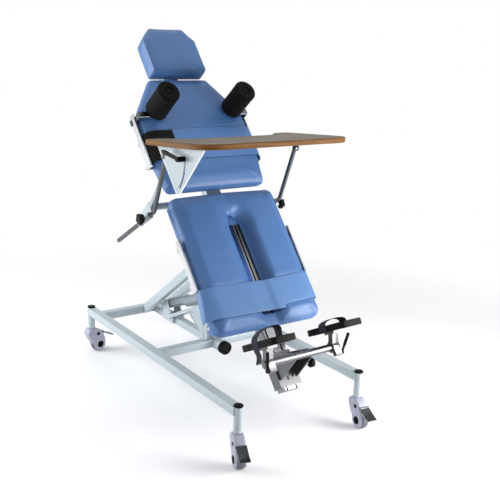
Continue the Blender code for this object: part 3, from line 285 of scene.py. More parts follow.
# Uneven tone: broad clouds and finer mottling lighten and darken the colour by the spread.
def makeToneDrift():
    inputs = {"Colour": (0.5, 0.5, 0.5, 1.0), "Scale": 5.0, "Spread": 0.1}
    group, start, end = newGroup("toneDrift", inputs, "Colour", "Value")
    broad = addNoise(group, start["Vector"], start["Scale"], 3.0)
    fineScale = calculate(group, "MULTIPLY", start["Scale"], 11.0)
    fine = addNoise(group, start["Vector"], fineScale, 4.0)
    summed = calculate(group, "MULTIPLY_ADD", fine, 0.5, broad)
    centred = calculate(group, "SUBTRACT", summed, 0.75)
    value = calculate(group, "MULTIPLY_ADD", centred, calculate(group, "MULTIPLY", start["Spread"], 2.6), 1.0)
    toned = addNode(group, "ShaderNodeHueSaturation", {"Value": value, "Color": start["Colour"]})
    group.links.new(toned.outputs[0], end["Colour"])
    group.links.new(value, end["Value"])
    return group


# Small cells with creases between them, broken by fine noise, as on coated cloth or a moulded skin.
def makeCellGrain():
    group, start, end = newGroup("cellGrain", {"Scale": 500.0, "Noise": 0.4}, "Height")
    cell = addNode(group, "ShaderNodeTexVoronoi", {"Vector": start["Vector"], "Scale": start["Scale"]},
                   feature="DISTANCE_TO_EDGE")
    lip = mapped(group, cell.outputs["Distance"], 0.0, 0.22)
    fineScale = calculate(group, "MULTIPLY", start["Scale"], 1.7)
    height = calculate(group, "MULTIPLY_ADD", addNoise(group, start["Vector"], fineScale, 3.0), start["Noise"], lip)
    group.links.new(height, end["Height"])
    return group


# Two sets of threads at right angles, each raised where the other dips.
def makeThreadWeave():
    group, start, end = newGroup("threadWeave", {"Across": 900.0, "Along": 700.0}, "Height", "Mask")
    parts = addNode(group, "ShaderNodeSeparateXYZ", {"Vector": start["Vector"]})
    u = calculate(group, "MULTIPLY", parts.outputs[0], calculate(group, "MULTIPLY", start["Along"], 2 * math.pi))
    v = calculate(group, "MULTIPLY", parts.outputs[1], calculate(group, "MULTIPLY", start["Across"], 2 * math.pi))
    product = calculate(group, "MULTIPLY", calculate(group, "SINE", u), calculate(group, "SINE", v))
    group.links.new(mapped(group, product, -1.0, 1.0), end["Mask"])
    ridge = calculate(group, "ABSOLUTE", product)
    group.links.new(ridge, end["Height"])
    return group


# Long fine scratches in one direction, from noise stretched along it.
def makeBrushLines():
    group, start, end = newGroup("brushLines", {"Stretch": (400.0, 400.0, 6.0)}, "Value")
    drawn = addNode(group, "ShaderNodeVectorMath", {0: start["Vector"], 1: start["Stretch"]}, operation="MULTIPLY")
    group.links.new(addNoise(group, drawn.outputs[0], 1.0, 4.0), end["Value"])
    return group


# Rubbed places: the mesh's own raised edges, broken up by noise.
def makeRubbedEdges():
    group, start, end = newGroup("rubbedEdges", {"Scale": 40.0, "Amount": 0.5}, "Mask")
    geometry = addNode(group, "ShaderNodeNewGeometry")
    raised = mapped(group, geometry.outputs["Pointiness"], 0.52, 0.62)
    broken = mapped(group, addNoise(group, start["Vector"], start["Scale"], 5.0), 0.42, 0.62)
    mask = calculate(group, "MULTIPLY", calculate(group, "MULTIPLY", raised, broken), start["Amount"])
    group.links.new(mask, end["Mask"])
    return group


# Dust that settles on what faces up, thicker in patches.
def makeSettledDust():
    group, start, end = newGroup("settledDust", {"Scale": 9.0, "Amount": 0.1}, "Mask")
    facing = addNode(group, "ShaderNodeTexCoord")
    parts = addNode(group, "ShaderNodeSeparateXYZ", {"Vector": facing.outputs["Normal"]})
    upward = mapped(group, parts.outputs[2], 0.2, 1.0)
    patches = mapped(group, addNoise(group, start["Vector"], start["Scale"], 6.0), 0.35, 0.7)
    mask = calculate(group, "MULTIPLY", calculate(group, "MULTIPLY", upward, patches), start["Amount"])
    group.links.new(mask, end["Mask"])
    return group


# The seam where a pad's wall meets its face, as a mask for painted crease shade: the height out of the bed board
# crosses one level.
def makeSeamLine():
    group, start, end = newGroup("seamLine", {"Level": 0.0, "Half": 0.0012}, "Mask")
    outward = Vector((0.0, -math.sin(bed["tilt"]), math.cos(bed["tilt"])))
    board = Vector(fromBed([-bed["centre"][0], 0.0, 0.0]))
    height = addNode(group, "ShaderNodeVectorMath", {0: start["Vector"], 1: outward}, operation="DOT_PRODUCT")
    above = calculate(group, "SUBTRACT", height.outputs["Value"], board.dot(outward))
    away = calculate(group, "ABSOLUTE", calculate(group, "SUBTRACT", above, start["Level"]))
    share = calculate(group, "DIVIDE", away, start["Half"])
    group.links.new(mapped(group, share, 0.4, 1.6, 1.0, 0.0), end["Mask"])
    return group


# Two rows of stitches along a band: dashes near both edges, from the band's UV in metres.
def makeStitchRows():
    group, start, end = newGroup("stitchRows", {"Edge": 0.06, "Pitch": 0.006}, "Row", "Stitch")
    parts = addNode(group, "ShaderNodeSeparateXYZ", {"Vector": start["Vector"]})
    away = calculate(group, "SUBTRACT", calculate(group, "ABSOLUTE", parts.outputs[1]), start["Edge"])
    row = mapped(group, calculate(group, "ABSOLUTE", away), 0.0006, 0.0022, 1.0, 0.0)
    turns = calculate(group, "DIVIDE", parts.outputs[0], start["Pitch"])
    wave = calculate(group, "SINE", calculate(group, "MULTIPLY", turns, 2 * math.pi))
    dash = mapped(group, wave, -0.5, -0.2)
    group.links.new(row, end["Row"])
    group.links.new(calculate(group, "MULTIPLY", row, dash), end["Stitch"])
    return group


makers = (makeToneDrift, makeSeamLine, makeStitchRows, makeCellGrain, makeThreadWeave, makeBrushLines,
          makeRubbedEdges, makeSettledDust)
effects = {group.name: group for group in (make() for make in makers)}


# The outputs of one shared effect at a place on the surface.
def addEffect(tree, name, place, **values):
    return addNode(tree, "ShaderNodeGroup", {"Vector": place, **values}, node_tree=effects[name]).outputs


def addTone(tree, place, colour, scale, spread):
    return addEffect(tree, "toneDrift", place, Colour=linear(*colour), Scale=scale, Spread=spread)


# A display colour, 0 to 255, as the linear values that shaders take.
def linear(red, green, blue):
    share = np.array([red, green, blue]) / 255
    low, high = share / 12.92, ((share + 0.055) / 1.055) ** 2.4
    return (*np.where(share <= 0.04045, low, high).tolist(), 1.0)


def startMaterial(name, **settings):
    material = bpy.data.materials.new(name)
    material.use_nodes = True
    tree = material.node_tree
    shader = tree.nodes["Principled BSDF"].inputs
    for label, value in settings.items():
        shader[label.replace("_", " ")].default_value = value
    return material, tree, shader, addNode(tree, "ShaderNodeTexCoord").outputs["Object"]


# A finish's colour, roughness and bump brought to its shader.
def joinShader(tree, shader, colour, rough, height, depth):
    bump = addNode(tree, "ShaderNodeBump", {"Height": height, "Distance": depth, "Strength": 1.0})
    feed(tree, shader, "Base Color", colour)
    feed(tree, shader, "Roughness", rough)
    feed(tree, shader, "Normal", bump.outputs["Normal"])


# Roughness that falls by twice the spread as the tone rises.
def roughBy(tree, drift, values):
    least, most = values["roughness"] - values["roughSpread"], values["roughness"] + values["roughSpread"]
    return mapped(tree, drift["Value"], 1 - values["toneRange"], 1 + values["toneRange"], most, least)


# What a rigid finish has unless it says otherwise.
plain = {"metallic": 0.0, "gloss": 0.5, "grain": "cells", "depth": 0.0001, "rubbed": 0.0, "rubScale": 60.0,
         "dust": 0.0, "dustScale": 9.0, "dustColour": (196, 192, 184), "toneRange": 0.2, "roughSpread": 0.06}


# One rigid finish: drifting tone, a fine bump, rubbed edges in a second colour and a little dust.
def rigidFinish(name, changes):
    values = {**plain, **changes}
    material, tree, shader, place = startMaterial(
        name, Metallic=values["metallic"], Specular_IOR_Level=values["gloss"])
    drift = addTone(tree, place, values["colour"], values["driftScale"], values["drift"])
    colour = drift["Colour"]
    if values["rubbed"]:
        rub = addEffect(tree, "rubbedEdges", place, Scale=values["rubScale"], Amount=values["rubbed"])
        colour = blended(tree, rub["Mask"], colour, linear(*values["under"]))
    if values["dust"]:
        dust = addEffect(tree, "settledDust", place, Scale=values["dustScale"], Amount=values["dust"])
        colour = blended(tree, dust["Mask"], colour, linear(*values["dustColour"]))
    if values["grain"] == "peel":
        height = addNoise(tree, place, values["grainScale"], 1.0)
    elif values["grain"] == "cells":
        height = addEffect(tree, "cellGrain", place, Scale=values["grainScale"])["Height"]
    else:
        height = addEffect(tree, "brushLines", place, Stretch=values["stretch"])["Value"]
    joinShader(tree, shader, colour, roughBy(tree, drift, values), height, values["depth"])
    return material


rigidFinishes = {
    "framePaint": {"colour": (164, 176, 182), "roughness": 0.36, "drift": 0.03, "driftScale": 4.0, "grain": "peel",
                   "grainScale": 420.0, "depth": 0.00025, "rubbed": 0.25, "under": (150, 152, 156), "dust": 0.06},
    "platePaint": {"colour": (148, 159, 166), "roughness": 0.34, "drift": 0.02, "driftScale": 5.0, "grain": "peel",
                   "grainScale": 480.0, "depth": 0.0002, "rubbed": 0.2, "under": (150, 152, 156)},
    "rimPaint": {"colour": (222, 227, 230), "roughness": 0.34, "drift": 0.02, "driftScale": 5.0, "grain": "peel",
                 "grainScale": 480.0, "depth": 0.0002},
    "casterHood": {"colour": (152, 154, 170), "roughness": 0.42, "drift": 0.04, "driftScale": 9.0,
                   "grainScale": 900.0, "rubbed": 0.2, "under": (205, 206, 214), "dust": 0.12},
    "casterTread": {"colour": (104, 105, 114), "roughness": 0.62, "drift": 0.12, "driftScale": 14.0,
                    "grainScale": 700.0, "depth": 0.00015, "dust": 0.2},
    "zincSteel": {"colour": (182, 184, 186), "roughness": 0.26, "metallic": 1.0, "drift": 0.08, "driftScale": 12.0,
                  "grain": "brushed", "stretch": (500.0, 500.0, 30.0), "depth": 0.00008, "rubbed": 0.3,
                  "under": (205, 206, 208)},
    "armSteel": {"colour": (96, 99, 102), "roughness": 0.24, "metallic": 1.0, "drift": 0.06, "driftScale": 10.0,
                 "grain": "brushed", "stretch": (40.0, 900.0, 900.0), "depth": 0.00004},
    "chromeTube": {"colour": (178, 178, 176), "roughness": 0.14, "metallic": 1.0, "drift": 0.04, "driftScale": 10.0,
                   "grain": "brushed", "stretch": (40.0, 900.0, 900.0), "depth": 0.00003, "roughSpread": 0.04},
    "clampAluminium": {"colour": (116, 117, 119), "roughness": 0.34, "metallic": 1.0, "drift": 0.03,
                       "driftScale": 6.0, "grain": "brushed", "stretch": (900.0, 20.0, 20.0), "depth": 0.00005},
    "blackMoulding": {"colour": (6, 6, 7), "roughness": 0.46, "gloss": 0.10, "drift": 0.12, "driftScale": 12.0,
                      "grainScale": 1100.0, "depth": 0.00012, "rubbed": 0.22, "under": (36, 36, 38)},
    "capBlack": {"colour": (3, 3, 4), "roughness": 0.60, "gloss": 0.06, "drift": 0.1, "driftScale": 12.0,
                 "grainScale": 1100.0},
    "actuatorGrey": {"colour": (128, 138, 146), "roughness": 0.34, "drift": 0.03, "driftScale": 7.0, "grain": "peel",
                     "grainScale": 300.0, "rubbed": 0.2, "under": (120, 122, 126)},
    "darkBuffer": {"colour": (62, 64, 70), "roughness": 0.6, "drift": 0.1, "driftScale": 14.0, "grainScale": 900.0},
}
finishes = {name: rigidFinish(name, values) for name, values in rigidFinishes.items()}


# Blue coated upholstery: drifting tone, leather grain and soft sheen, with a seam line or rows of stitches, each
# darkened by painted crease shade.
def vinylFinish(name, values, seam=None, stitches=None):
    material, tree, shader, place = startMaterial(
        name, Coat_Weight=values["coat"], Coat_Roughness=values["coatRoughness"], Sheen_Weight=values["sheen"])
    drift = addTone(tree, place, values["colour"], values["driftScale"], values["drift"])
    colour, creaseShade = drift["Colour"], linear(*values["seamShadeColour"])
    height = addEffect(tree, "cellGrain", place, Scale=values["grainScale"])["Height"]
    if seam is not None:
        level, strength = seam
        # Painted shade: along the seam the colour darkens toward the crease shade colour.
        shade = calculate(tree, "MULTIPLY", addEffect(tree, "seamLine", place, Level=level)["Mask"], strength)
        colour = blended(tree, shade, colour, creaseShade)
        height = calculate(tree, "MULTIPLY_ADD", shade, values["seamDepth"], height)
    if stitches is not None:
        uv = addNode(tree, "ShaderNodeUVMap", uv_map="UVMap").outputs[0]
        rows = addEffect(tree, "stitchRows", uv, Edge=stitches)
        # Painted shade: along the stitch rows the colour darkens toward the same crease shade; the stitches
        # themselves take the thread's colour.
        colour = blended(tree, calculate(tree, "MULTIPLY", rows["Row"], values["rowShade"]), colour, creaseShade)
        colour = blended(tree, rows["Stitch"], colour, linear(*values["thread"]))
        for label, rise in values["rowHeights"].items():
            height = calculate(tree, "MULTIPLY_ADD", rows[label], rise, height)
    joinShader(tree, shader, colour, roughBy(tree, drift, values), height, values["depth"])
    return material


vinyl = {"colour": (63, 103, 158), "roughness": 0.40, "roughSpread": 0.05, "toneRange": 0.15, "coat": 0.08,
         "coatRoughness": 0.4, "sheen": 0.02, "drift": 0.05, "driftScale": 3.0, "grainScale": 620.0, "depth": 0.00016,
         "seamShadeColour": (26, 42, 78), "seamDepth": -9.0, "thread": (92, 130, 182), "rowShade": 0.45,
         "rowHeights": {"Row": -4.0, "Stitch": 3.0},
         # Each seam's level over the board's plane and the strength of its painted crease shade.
         "seams": {"padVinyl": (-0.0125, 0.18), "headVinyl": (0.0325, 0.80)},
         # Each band's colour and how far its stitches run from its middle.
         "rows": {"legBandVinyl": ((76, 116, 168), 0.0625), "chestBandVinyl": ((66, 108, 164), 0.0740)}}
finishes["blueVinyl"] = vinylFinish("blueVinyl", vinyl)
for name, seam in vinyl["seams"].items():
    finishes[name] = vinylFinish(name, vinyl, seam=seam)
for name, (colour, edge) in vinyl["rows"].items():
    finishes[name] = vinylFinish(name, {**vinyl, "colour": colour}, stitches=edge)


# Woven band: threads along and across the band's own length and width, in metres on its UV map.
def bandFinish(name, values):
    material, tree, shader, place = startMaterial(
        name, Sheen_Weight=values["sheen"], Specular_IOR_Level=values["gloss"])
    uv = addNode(tree, "ShaderNodeUVMap", uv_map="UVMap").outputs[0]
    drift = addTone(tree, place, values["colour"], values["driftScale"], values["drift"])
    weave = addEffect(tree, "threadWeave", uv, Across=values["across"], Along=values["along"])
    colour = blended(tree, weave["Mask"], drift["Colour"], linear(*values["thread"]))
    rough = mapped(tree, weave["Height"], 0.0, 1.0, values["roughness"] + 0.08, values["roughness"])
    joinShader(tree, shader, colour, rough, weave["Height"], values["depth"])
    return material


bands = {
    "footWebbing": {"colour": (26, 26, 38), "thread": (44, 44, 60), "roughness": 0.72, "sheen": 0.06, "drift": 0.1,
                    "driftScale": 20.0, "gloss": 0.2, "across": 420.0, "along": 320.0, "depth": 0.0004},
    "chestElastic": {"colour": (5, 6, 7), "thread": (12, 13, 15), "roughness": 0.80, "sheen": 0.02, "drift": 0.1,
                     "driftScale": 20.0, "gloss": 0.2, "across": 160.0, "along": 500.0, "depth": 0.0006},
}
for name, values in bands.items():
    finishes[name] = bandFinish(name, values)


# Closed-cell foam: matt black with fine open pores and a light bloom.
def foamFinish(name, values):
    material, tree, shader, place = startMaterial(
        name, Sheen_Weight=values["sheen"], Sheen_Roughness=0.6, Specular_IOR_Level=values["gloss"])
    drift = addTone(tree, place, values["colour"], values["driftScale"], values["drift"])
    pores = addEffect(tree, "cellGrain", place, Scale=values["pores"], Noise=0.8)["Height"]
    rough = mapped(tree, pores, 0.0, 1.4, *values["roughness"])
    joinShader(tree, shader, drift["Colour"], rough, pores, values["depth"])
    return material


foam = {"colour": (8, 9, 9), "roughness": (0.95, 0.78), "sheen": 0.02, "gloss": 0.12, "drift": 0.2,
        "driftScale": 14.0, "pores": 420.0, "depth": 0.0006}
finishes["rollerFoam"] = foamFinish("rollerFoam", foam)


# Extruded aluminium: brushed lengthwise, with painted shade down in the grooves and a painted reflection of the blue
# pads on its left part between the pads.
def columnFinish(name, values):
    material, tree, shader, place = startMaterial(name, Metallic=1.0)
    parts = addNode(tree, "ShaderNodeSeparateXYZ", {"Vector": place}).outputs
    x = calculate(tree, "SUBTRACT", parts[0], bed["centre"][0])
    aside = calculate(tree, "ABSOLUTE", x)
    colour = addTone(tree, place, values["colour"], values["driftScale"], values["drift"])["Colour"]
    # Painted reflection: left of the middle and high up, the aluminium takes the blue of the pads as if it mirrored
    # them.
    high = mapped(tree, parts[2], values["paintedReflectionFrom"], values["paintedReflectionFrom"] + 0.02)
    between = calculate(tree, "MULTIPLY", mapped(tree, x, values["paintedReflectionTo"] + 0.001, values["paintedReflectionTo"]), high)
    colour = blended(tree, between, colour, linear(*values["mirrored"]))
    # Painted shade: a dark line down each groove, either side of the middle.
    for centre, half in values["lines"]:
        away = calculate(tree, "ABSOLUTE", calculate(tree, "SUBTRACT", aside, centre))
        dark = mapped(tree, away, half, half + 0.0008, 1.0, 0.0)
        colour = blended(tree, dark, colour, linear(*values["shade"]))
    lines = addEffect(tree, "brushLines", place, Stretch=values["stretch"])["Value"]
    joinShader(tree, shader, colour, values["roughness"], lines, values["depth"])
    return material


column = {"colour": (138, 140, 143), "roughness": 0.26, "drift": 0.03, "driftScale": 6.0,
          "stretch": (900.0, 20.0, 20.0), "depth": 0.00005,
          # The painted reflection of the blue pads: its colour, and where it lies, left of this x and above this z.
          "mirrored": (58, 88, 146), "paintedReflectionTo": 0.0120, "paintedReflectionFrom": 0.470,
          # The grooves' painted shade: centre and half width of each dark line, either side of the middle.
          "shade": (12, 16, 30), "lines": [(0.0250, 0.0034), (0.0395, 0.0012)]}
finishes["columnAluminium"] = columnFinish("columnAluminium", column)


# Wood: a broad distorted noise for the growth rings and a fine one for the pores, both drawn out with the grain.
def woodFinish(name, values):
    material, tree, shader, place = startMaterial(name, Specular_IOR_Level=values["gloss"])
    drawn = addNode(tree, "ShaderNodeVectorMath", {0: place, 1: values["stretch"]}, operation="MULTIPLY").outputs[0]
    broad, fine = addNoise(tree, drawn, 1.0, 5.0, 0.8), addNoise(tree, drawn, 7.0, 6.0)
    streak = mapped(tree, calculate(tree, "MULTIPLY_ADD", fine, 0.6, broad), 0.55, 1.05)
    colour = blended(tree, streak, linear(*values["dark"]), linear(*values["light"]))
    rough = mapped(tree, streak, 0.0, 1.0, values["roughness"] + 0.08, values["roughness"] - 0.04)
    joinShader(tree, shader, colour, rough, fine, values["depth"])
    return material


woods = {
    "trayFace": {"dark": (96, 88, 76), "light": (146, 137, 122), "roughness": 0.50, "gloss": 0.15,
                 "stretch": (4.0, 60.0, 60.0), "depth": 0.00006},
    "trayEdge": {"dark": (84, 54, 26), "light": (134, 94, 52), "roughness": 0.50, "gloss": 0.12,
                 "stretch": (5.0, 5.0, 140.0), "depth": 0.0001},
}
for name, values in woods.items():
    finishes[name] = woodFinish(name, values)
print("finishes made:", len(finishes))

rigidLooks = {
    "framePaint": ["side_rail_left", "side_rail_right", "front_cross_member", "rear_cross_member", "centre_beam",
                   "pivot_frame_left", "pivot_frame_right", "back_spine", "tilt_channel", "tray_carrier"],
    "platePaint": ["tray_side_plate", "tray_hinge_right"],
    "zincSteel": ["leg_rail_left", "leg_rail_right", "back_rail_left", "back_rail_right"],
    "armSteel": ["tray_arm_left", "tray_arm_right", "roller_bracket_left", "roller_bracket_right",
                 "brake_pedal_front_left", "brake_pedal_front_right", "brake_pedal_rear_left",
                 "brake_pedal_rear_right"],
    "chromeTube": ["actuator_rod"],
    "columnAluminium": ["foot_column"],
    "clampAluminium": ["foot_clamp_left", "foot_clamp_right", "foot_carriage"],
    "blackMoulding": ["tray_lever", "arm_knob_left", "arm_knob_right", "carriage_knob", "foot_lever_left",
                      "foot_lever_right", "foot_plate_left", "foot_plate_right"],
    "actuatorGrey": ["actuator_body"],
    "blueVinyl": ["leg_board", "back_board"],
    "trayFace": ["tray_top"],
}
edges = {"blackMoulding": 0.0012, "framePaint": 0.0009, "others": 0.0007, "segments": 2, "sharper": 32}


# A copy of the CAD node with its triangles merged to whole faces and its edges broken by a small round.
def softened(node, finish):
    mesh = mergedCopy(node, dissolve=True)
    mesh.name = node + "_worn"
    mesh.materials.clear()
    mesh.shade_smooth()
    if finish == "trayFace":
        edgeMaterials(mesh)
    else:
        mesh.materials.append(finishes[finish])
    piece = asObject(node + "_worn", mesh, None, bodyOf[node], (node,))
    rounding = piece.modifiers.new("edges", "BEVEL")
    rounding.width = edges.get(finish, edges["others"])
    rounding.segments = edges["segments"]
    rounding.limit_method = "ANGLE"
    rounding.angle_limit = math.radians(edges["sharper"])
    rounding.harden_normals = True
    return piece


# The three numbers that a label names, for every vertex, face or normal of a mesh.
def readRows(items, label):
    flat = np.zeros(len(items) * 3, np.float32)
    items.foreach_get(label, flat)
    return flat.reshape(-1, 3)


# The tray's flat faces get its laminate and its rim the wooden edging, by the way each face points.
def edgeMaterials(mesh):
    mesh.materials.append(finishes["trayFace"])
    mesh.materials.append(finishes["trayEdge"])
    upward = np.array([0.0, math.sin(bed["trayRise"]), math.cos(bed["trayRise"])])
    rim = (np.abs(readRows(mesh.polygons, "normal") @ upward) < 0.9).astype(np.int32)
    mesh.polygons.foreach_set("material_index", rim)


bodyOf = {node: body for body, nodes in frame["record"]["behaviour"]["bodies"].items() for node in nodes}
for finish, nodes in rigidLooks.items():
    for node in nodes:
        softened(node, finish)
print("rigid pieces dressed")

cushions = {
    "legPad": {"node": "leg_cushion", "finish": "padVinyl", "voxel": 0.006, "inset": 0.003, "cap": 0.006,
               "pressure": 4.0, "half": 0.285, "band": (0.075, 0.212),
               # The pad is closed across the slot's foot: x, s and k that the closing part fills.
               "bridge": ((-0.052, 0.052), (0.004, 0.062), (-0.0462, -0.0180))},
    "backPad": {"node": "back_cushion", "finish": "padVinyl", "voxel": 0.006, "inset": 0.003, "cap": 0.006,
                "pressure": 4.0, "half": 0.290, "band": (0.840, 1.000)},
    "headPad": {"node": "head_cushion", "finish": "headVinyl", "voxel": 0.005, "inset": 0.002, "cap": 0.003,
                "pressure": 3.0, "longer": 0.020},
}
swelling = {"frames": 20, "quality": 4, "mass": 0.4, "heldRows": 1.2}
# Right of the slot the pad falls: how wide and deep, how hollow, what share is left at the pad's foot up to that s,
# toward which side, and over which depth. Left of it the rim leans in, between these places across, along and deep.
slotShape = {"half": 0.045, "end": 0.503, "slope": 0.060, "fall": 0.042, "hollow": 1.8, "footShare": 0.25,
             "foot": (0.055, 0.120), "side": (-0.1, 0.8), "fallDeep": (-0.044, -0.010),
             "lean": 0.028, "rim": (-0.13, -0.052), "rimInner": (-0.046, 0.0), "rimEnd": (0.53, 0.57),
             "rimDeep": (-0.044, -0.015)}
# Under a band: how far the pad gives way outside and inside the band's edges, and how much lower it lies.
bandGive = {"outside": 0.016, "inside": 0.004, "lower": 0.0008, "lowest": -0.02}
# Dents as wavelength, seed and depth, fading down the pad's wall, and how far the whole top sinks.
dents = {"waves": [(0.16, 5, 0.0009), (0.05, 6, 0.0003)], "fade": (-0.012, 0.0), "sunk": 0.0006}


def readPoints(mesh):
    return readRows(mesh.vertices, "co").astype(float)


def writePoints(mesh, points):
    mesh.vertices.foreach_set("co", np.asarray(points, np.float32).ravel())
    mesh.update()


def evaluatedMesh(piece):
    graph = bpy.context.evaluated_depsgraph_get()
    return bpy.data.meshes.new_from_object(piece.evaluated_get(graph), depsgraph=graph)


# The CAD pad in bed coordinates, drawn in a little, remeshed in even squares.
def squaredPad(name, values):
    mesh = mergedCopy(values["node"])
    writePoints(mesh, toBed(readPoints(mesh)))
    writePoints(mesh, readPoints(mesh) - readRows(mesh.vertex_normals, "vector") * values["inset"])
    if "bridge" in values:
        addBlock(mesh, *values["bridge"])
    piece = newObject(name + "Start", mesh)
    squares = piece.modifiers.new("squares", "REMESH")
    squares.mode = "VOXEL"
    squares.voxel_size = values["voxel"]
    return piece


# The low and high limits of x, s and k, filled by one block that the remesh joins to the pad.
def addBlock(mesh, *limits):
    low, high = np.array(limits).T
    place = Matrix.Translation((low + high) / 2) @ Matrix.Diagonal((*(high - low), 1.0))
    reshaped(mesh, lambda shape: bmesh.ops.create_cube(shape, size=1.0, matrix=place))


# Air pressure swells the pad off its board; no point moves further than the cap.
def swollen(piece, values):
    start = evaluatedMesh(piece)
    bpy.data.objects.remove(piece)
    piece = newObject("swelling", start)
    rest = readPoints(start)
    held = piece.vertex_groups.new(name="held")
    base = np.flatnonzero(rest[:, 2] < rest[:, 2].min() + values["voxel"] * swelling["heldRows"])
    held.add(base.tolist(), 1.0, "REPLACE")
    cloth = piece.modifiers.new("swell", "CLOTH")
    cloth.settings.quality = swelling["quality"]
    cloth.settings.mass = swelling["mass"]
    cloth.settings.use_pressure = True
    cloth.settings.uniform_pressure_force = values["pressure"]
    cloth.settings.vertex_group_mass = "held"
    cloth.settings.effector_weights.gravity = 0
    cloth.collision_settings.use_collision = False
    cloth.point_cache.frame_start, cloth.point_cache.frame_end = 1, swelling["frames"]
    for step in range(1, swelling["frames"] + 1):
        scene.frame_set(step)
    moved = readPoints(evaluatedMesh(piece))
    scene.frame_set(1)
    piece.modifiers.remove(cloth)
    shift = moved - rest
    length = np.maximum(np.linalg.norm(shift, axis=1, keepdims=True), 1e-9)
    return piece, rest + shift / length * values["cap"] * np.tanh(length / values["cap"])


# Smooth step from 0 to 1 as the value crosses from low to high.
def eased(value, low, high):
    share = np.clip((value - low) / (high - low), 0, 1)
    return share * share * (3 - 2 * share)


# A swollen pad drawn out again to the sides and ends that its CAD node has.
def fitted(points, node, longer):
    wanted = toBed(readPoints(frame["nodes"][node].data))
    low, high = points.min(axis=0), points.max(axis=0)
    share = (points[:, :2] - low[:2]) / (high - low)[:2]
    across = wanted.min(axis=0)[:2] + share * (np.ptp(wanted, axis=0)[:2] + np.array([0, longer]))
    return np.concatenate([across, points[:, 2:]], axis=1)


# Under a band the pad gives way to its plain border's height, a little lower.
def pressed(points, values):
    x, s, k = points.T
    low, high = values["band"]
    inset, height = np.array(bed["softEdge"]).T
    outside, inside = bandGive["outside"], bandGive["inside"]
    window = eased(s, low - outside, low + inside) * (1 - eased(s, high - inside, high + outside))
    level = np.interp(values["half"] - np.abs(x), inset, height) - bandGive["lower"]
    return np.stack([x, s, k + window * (np.minimum(k, np.maximum(level, bandGive["lowest"])) - k)], axis=-1)


# Right of the slot the pad falls in a wide soft slope, left of it the rim leans in a little.
def slotted(points):
    x, s, k = points.T
    reach = np.hypot(x, np.maximum(s - slotShape["end"], 0))
    share = np.clip(1 - (reach - slotShape["half"]) / slotShape["slope"], 0, 1)
    rightward = eased(x / np.maximum(reach, 1e-6), *slotShape["side"])
    least = slotShape["footShare"]
    fall = slotShape["fall"] * (least + (1 - least) * eased(s, *slotShape["foot"]))
    lower = k - fall * share ** slotShape["hollow"] * rightward * eased(k, *slotShape["fallDeep"])
    across = eased(x, *slotShape["rim"]) * (1 - eased(x, *slotShape["rimInner"]))
    leftRim = across * (1 - eased(s, *slotShape["rimEnd"]))
    return np.stack([x + slotShape["lean"] * leftRim * eased(k, *slotShape["rimDeep"]), s, lower], axis=-1)


def makeCushion(name, values):
    piece, points = swollen(squaredPad(name, values), values)
    points = fitted(points, values["node"], values.get("longer", 0.0))
    if "bridge" in values:
        points = slotted(points)
    if "band" in values:
        points = pressed(points, values)
    x, s, k = points.T
    depth = sum(softNoise(points, wavelength, seed) * deep for wavelength, seed, deep in dents["waves"])
    k = k + depth * eased(k, *dents["fade"]) - dents["sunk"]
    writePoints(piece.data, fromBed(np.stack([x, s, k], axis=-1)))
    mesh = piece.data
    bpy.data.objects.remove(piece)
    mesh.name = name
    mesh.materials.clear()
    mesh.shade_smooth()
    pad = asObject(name, mesh, finishes[values["finish"]], "table", (values["node"],))
    evened = pad.modifiers.new("evened", "SMOOTH")
    evened.factor, evened.iterations = 0.5, 5
    finer = pad.modifiers.new("finer", "SUBSURF")
    finer.levels = finer.render_levels = 1
    return pad


for name, values in cushions.items():
    makeCushion(name, values)
    print("cushion", name)

# Each band: s of its two edges, thickness, how far it lies off the pad, and its line over the pad's top as x and
# the height above that; then what its finish, slot and solid are and what it rests on.
straps = {
    "chestElastic": {"span": (0.845, 0.995), "thick": 0.0024, "away": 0.0011, "top": [(-0.156, 0.0)],
                     "half": "backHalf", "downLeft": True, "radius": 0.005, "lean": 0.0, "finish": "chestElastic",
                     "slot": "black_elastic", "stands": ("chest_strap_elastic",), "rests": ("backPad",)},
    "chestStrap": {"span": (0.840, 1.000), "thick": 0.0030, "away": 0.0011, "top": [(-0.155, 0.0), (0.0, 0.0)],
                   "half": "backHalf", "downLeft": False, "radius": 0.005, "lean": 0.0, "finish": "chestBandVinyl",
                   "slot": "blue_vinyl", "stands": ("chest_strap",), "rests": ("backPad",)},
    "legStrapFlap": {"span": (0.0750, 0.2050), "thick": 0.0030, "away": 0.0012, "top": [(0.050, 0.0), (0.110, 0.0)],
                     "half": "legHalf", "downLeft": False, "radius": 0.006, "lean": 0.039, "finish": "legBandVinyl",
                     "slot": "blue_vinyl", "stands": (), "rests": ("legPad",)},
    "legStrap": {"span": (0.0640, 0.2070), "thick": 0.0032, "away": 0.0012,
                 "top": [(-0.060, 0.0), (-0.020, -0.0030), (0.022, -0.0030), (0.050, 0.0033), (0.084, 0.0036)],
                 "half": "legHalf", "downLeft": True, "radius": 0.008, "lean": -0.033, "finish": "legBandVinyl",
                 "slot": "blue_vinyl", "stands": ("leg_strap",), "rests": ("legPad", "legStrapFlap")},
}


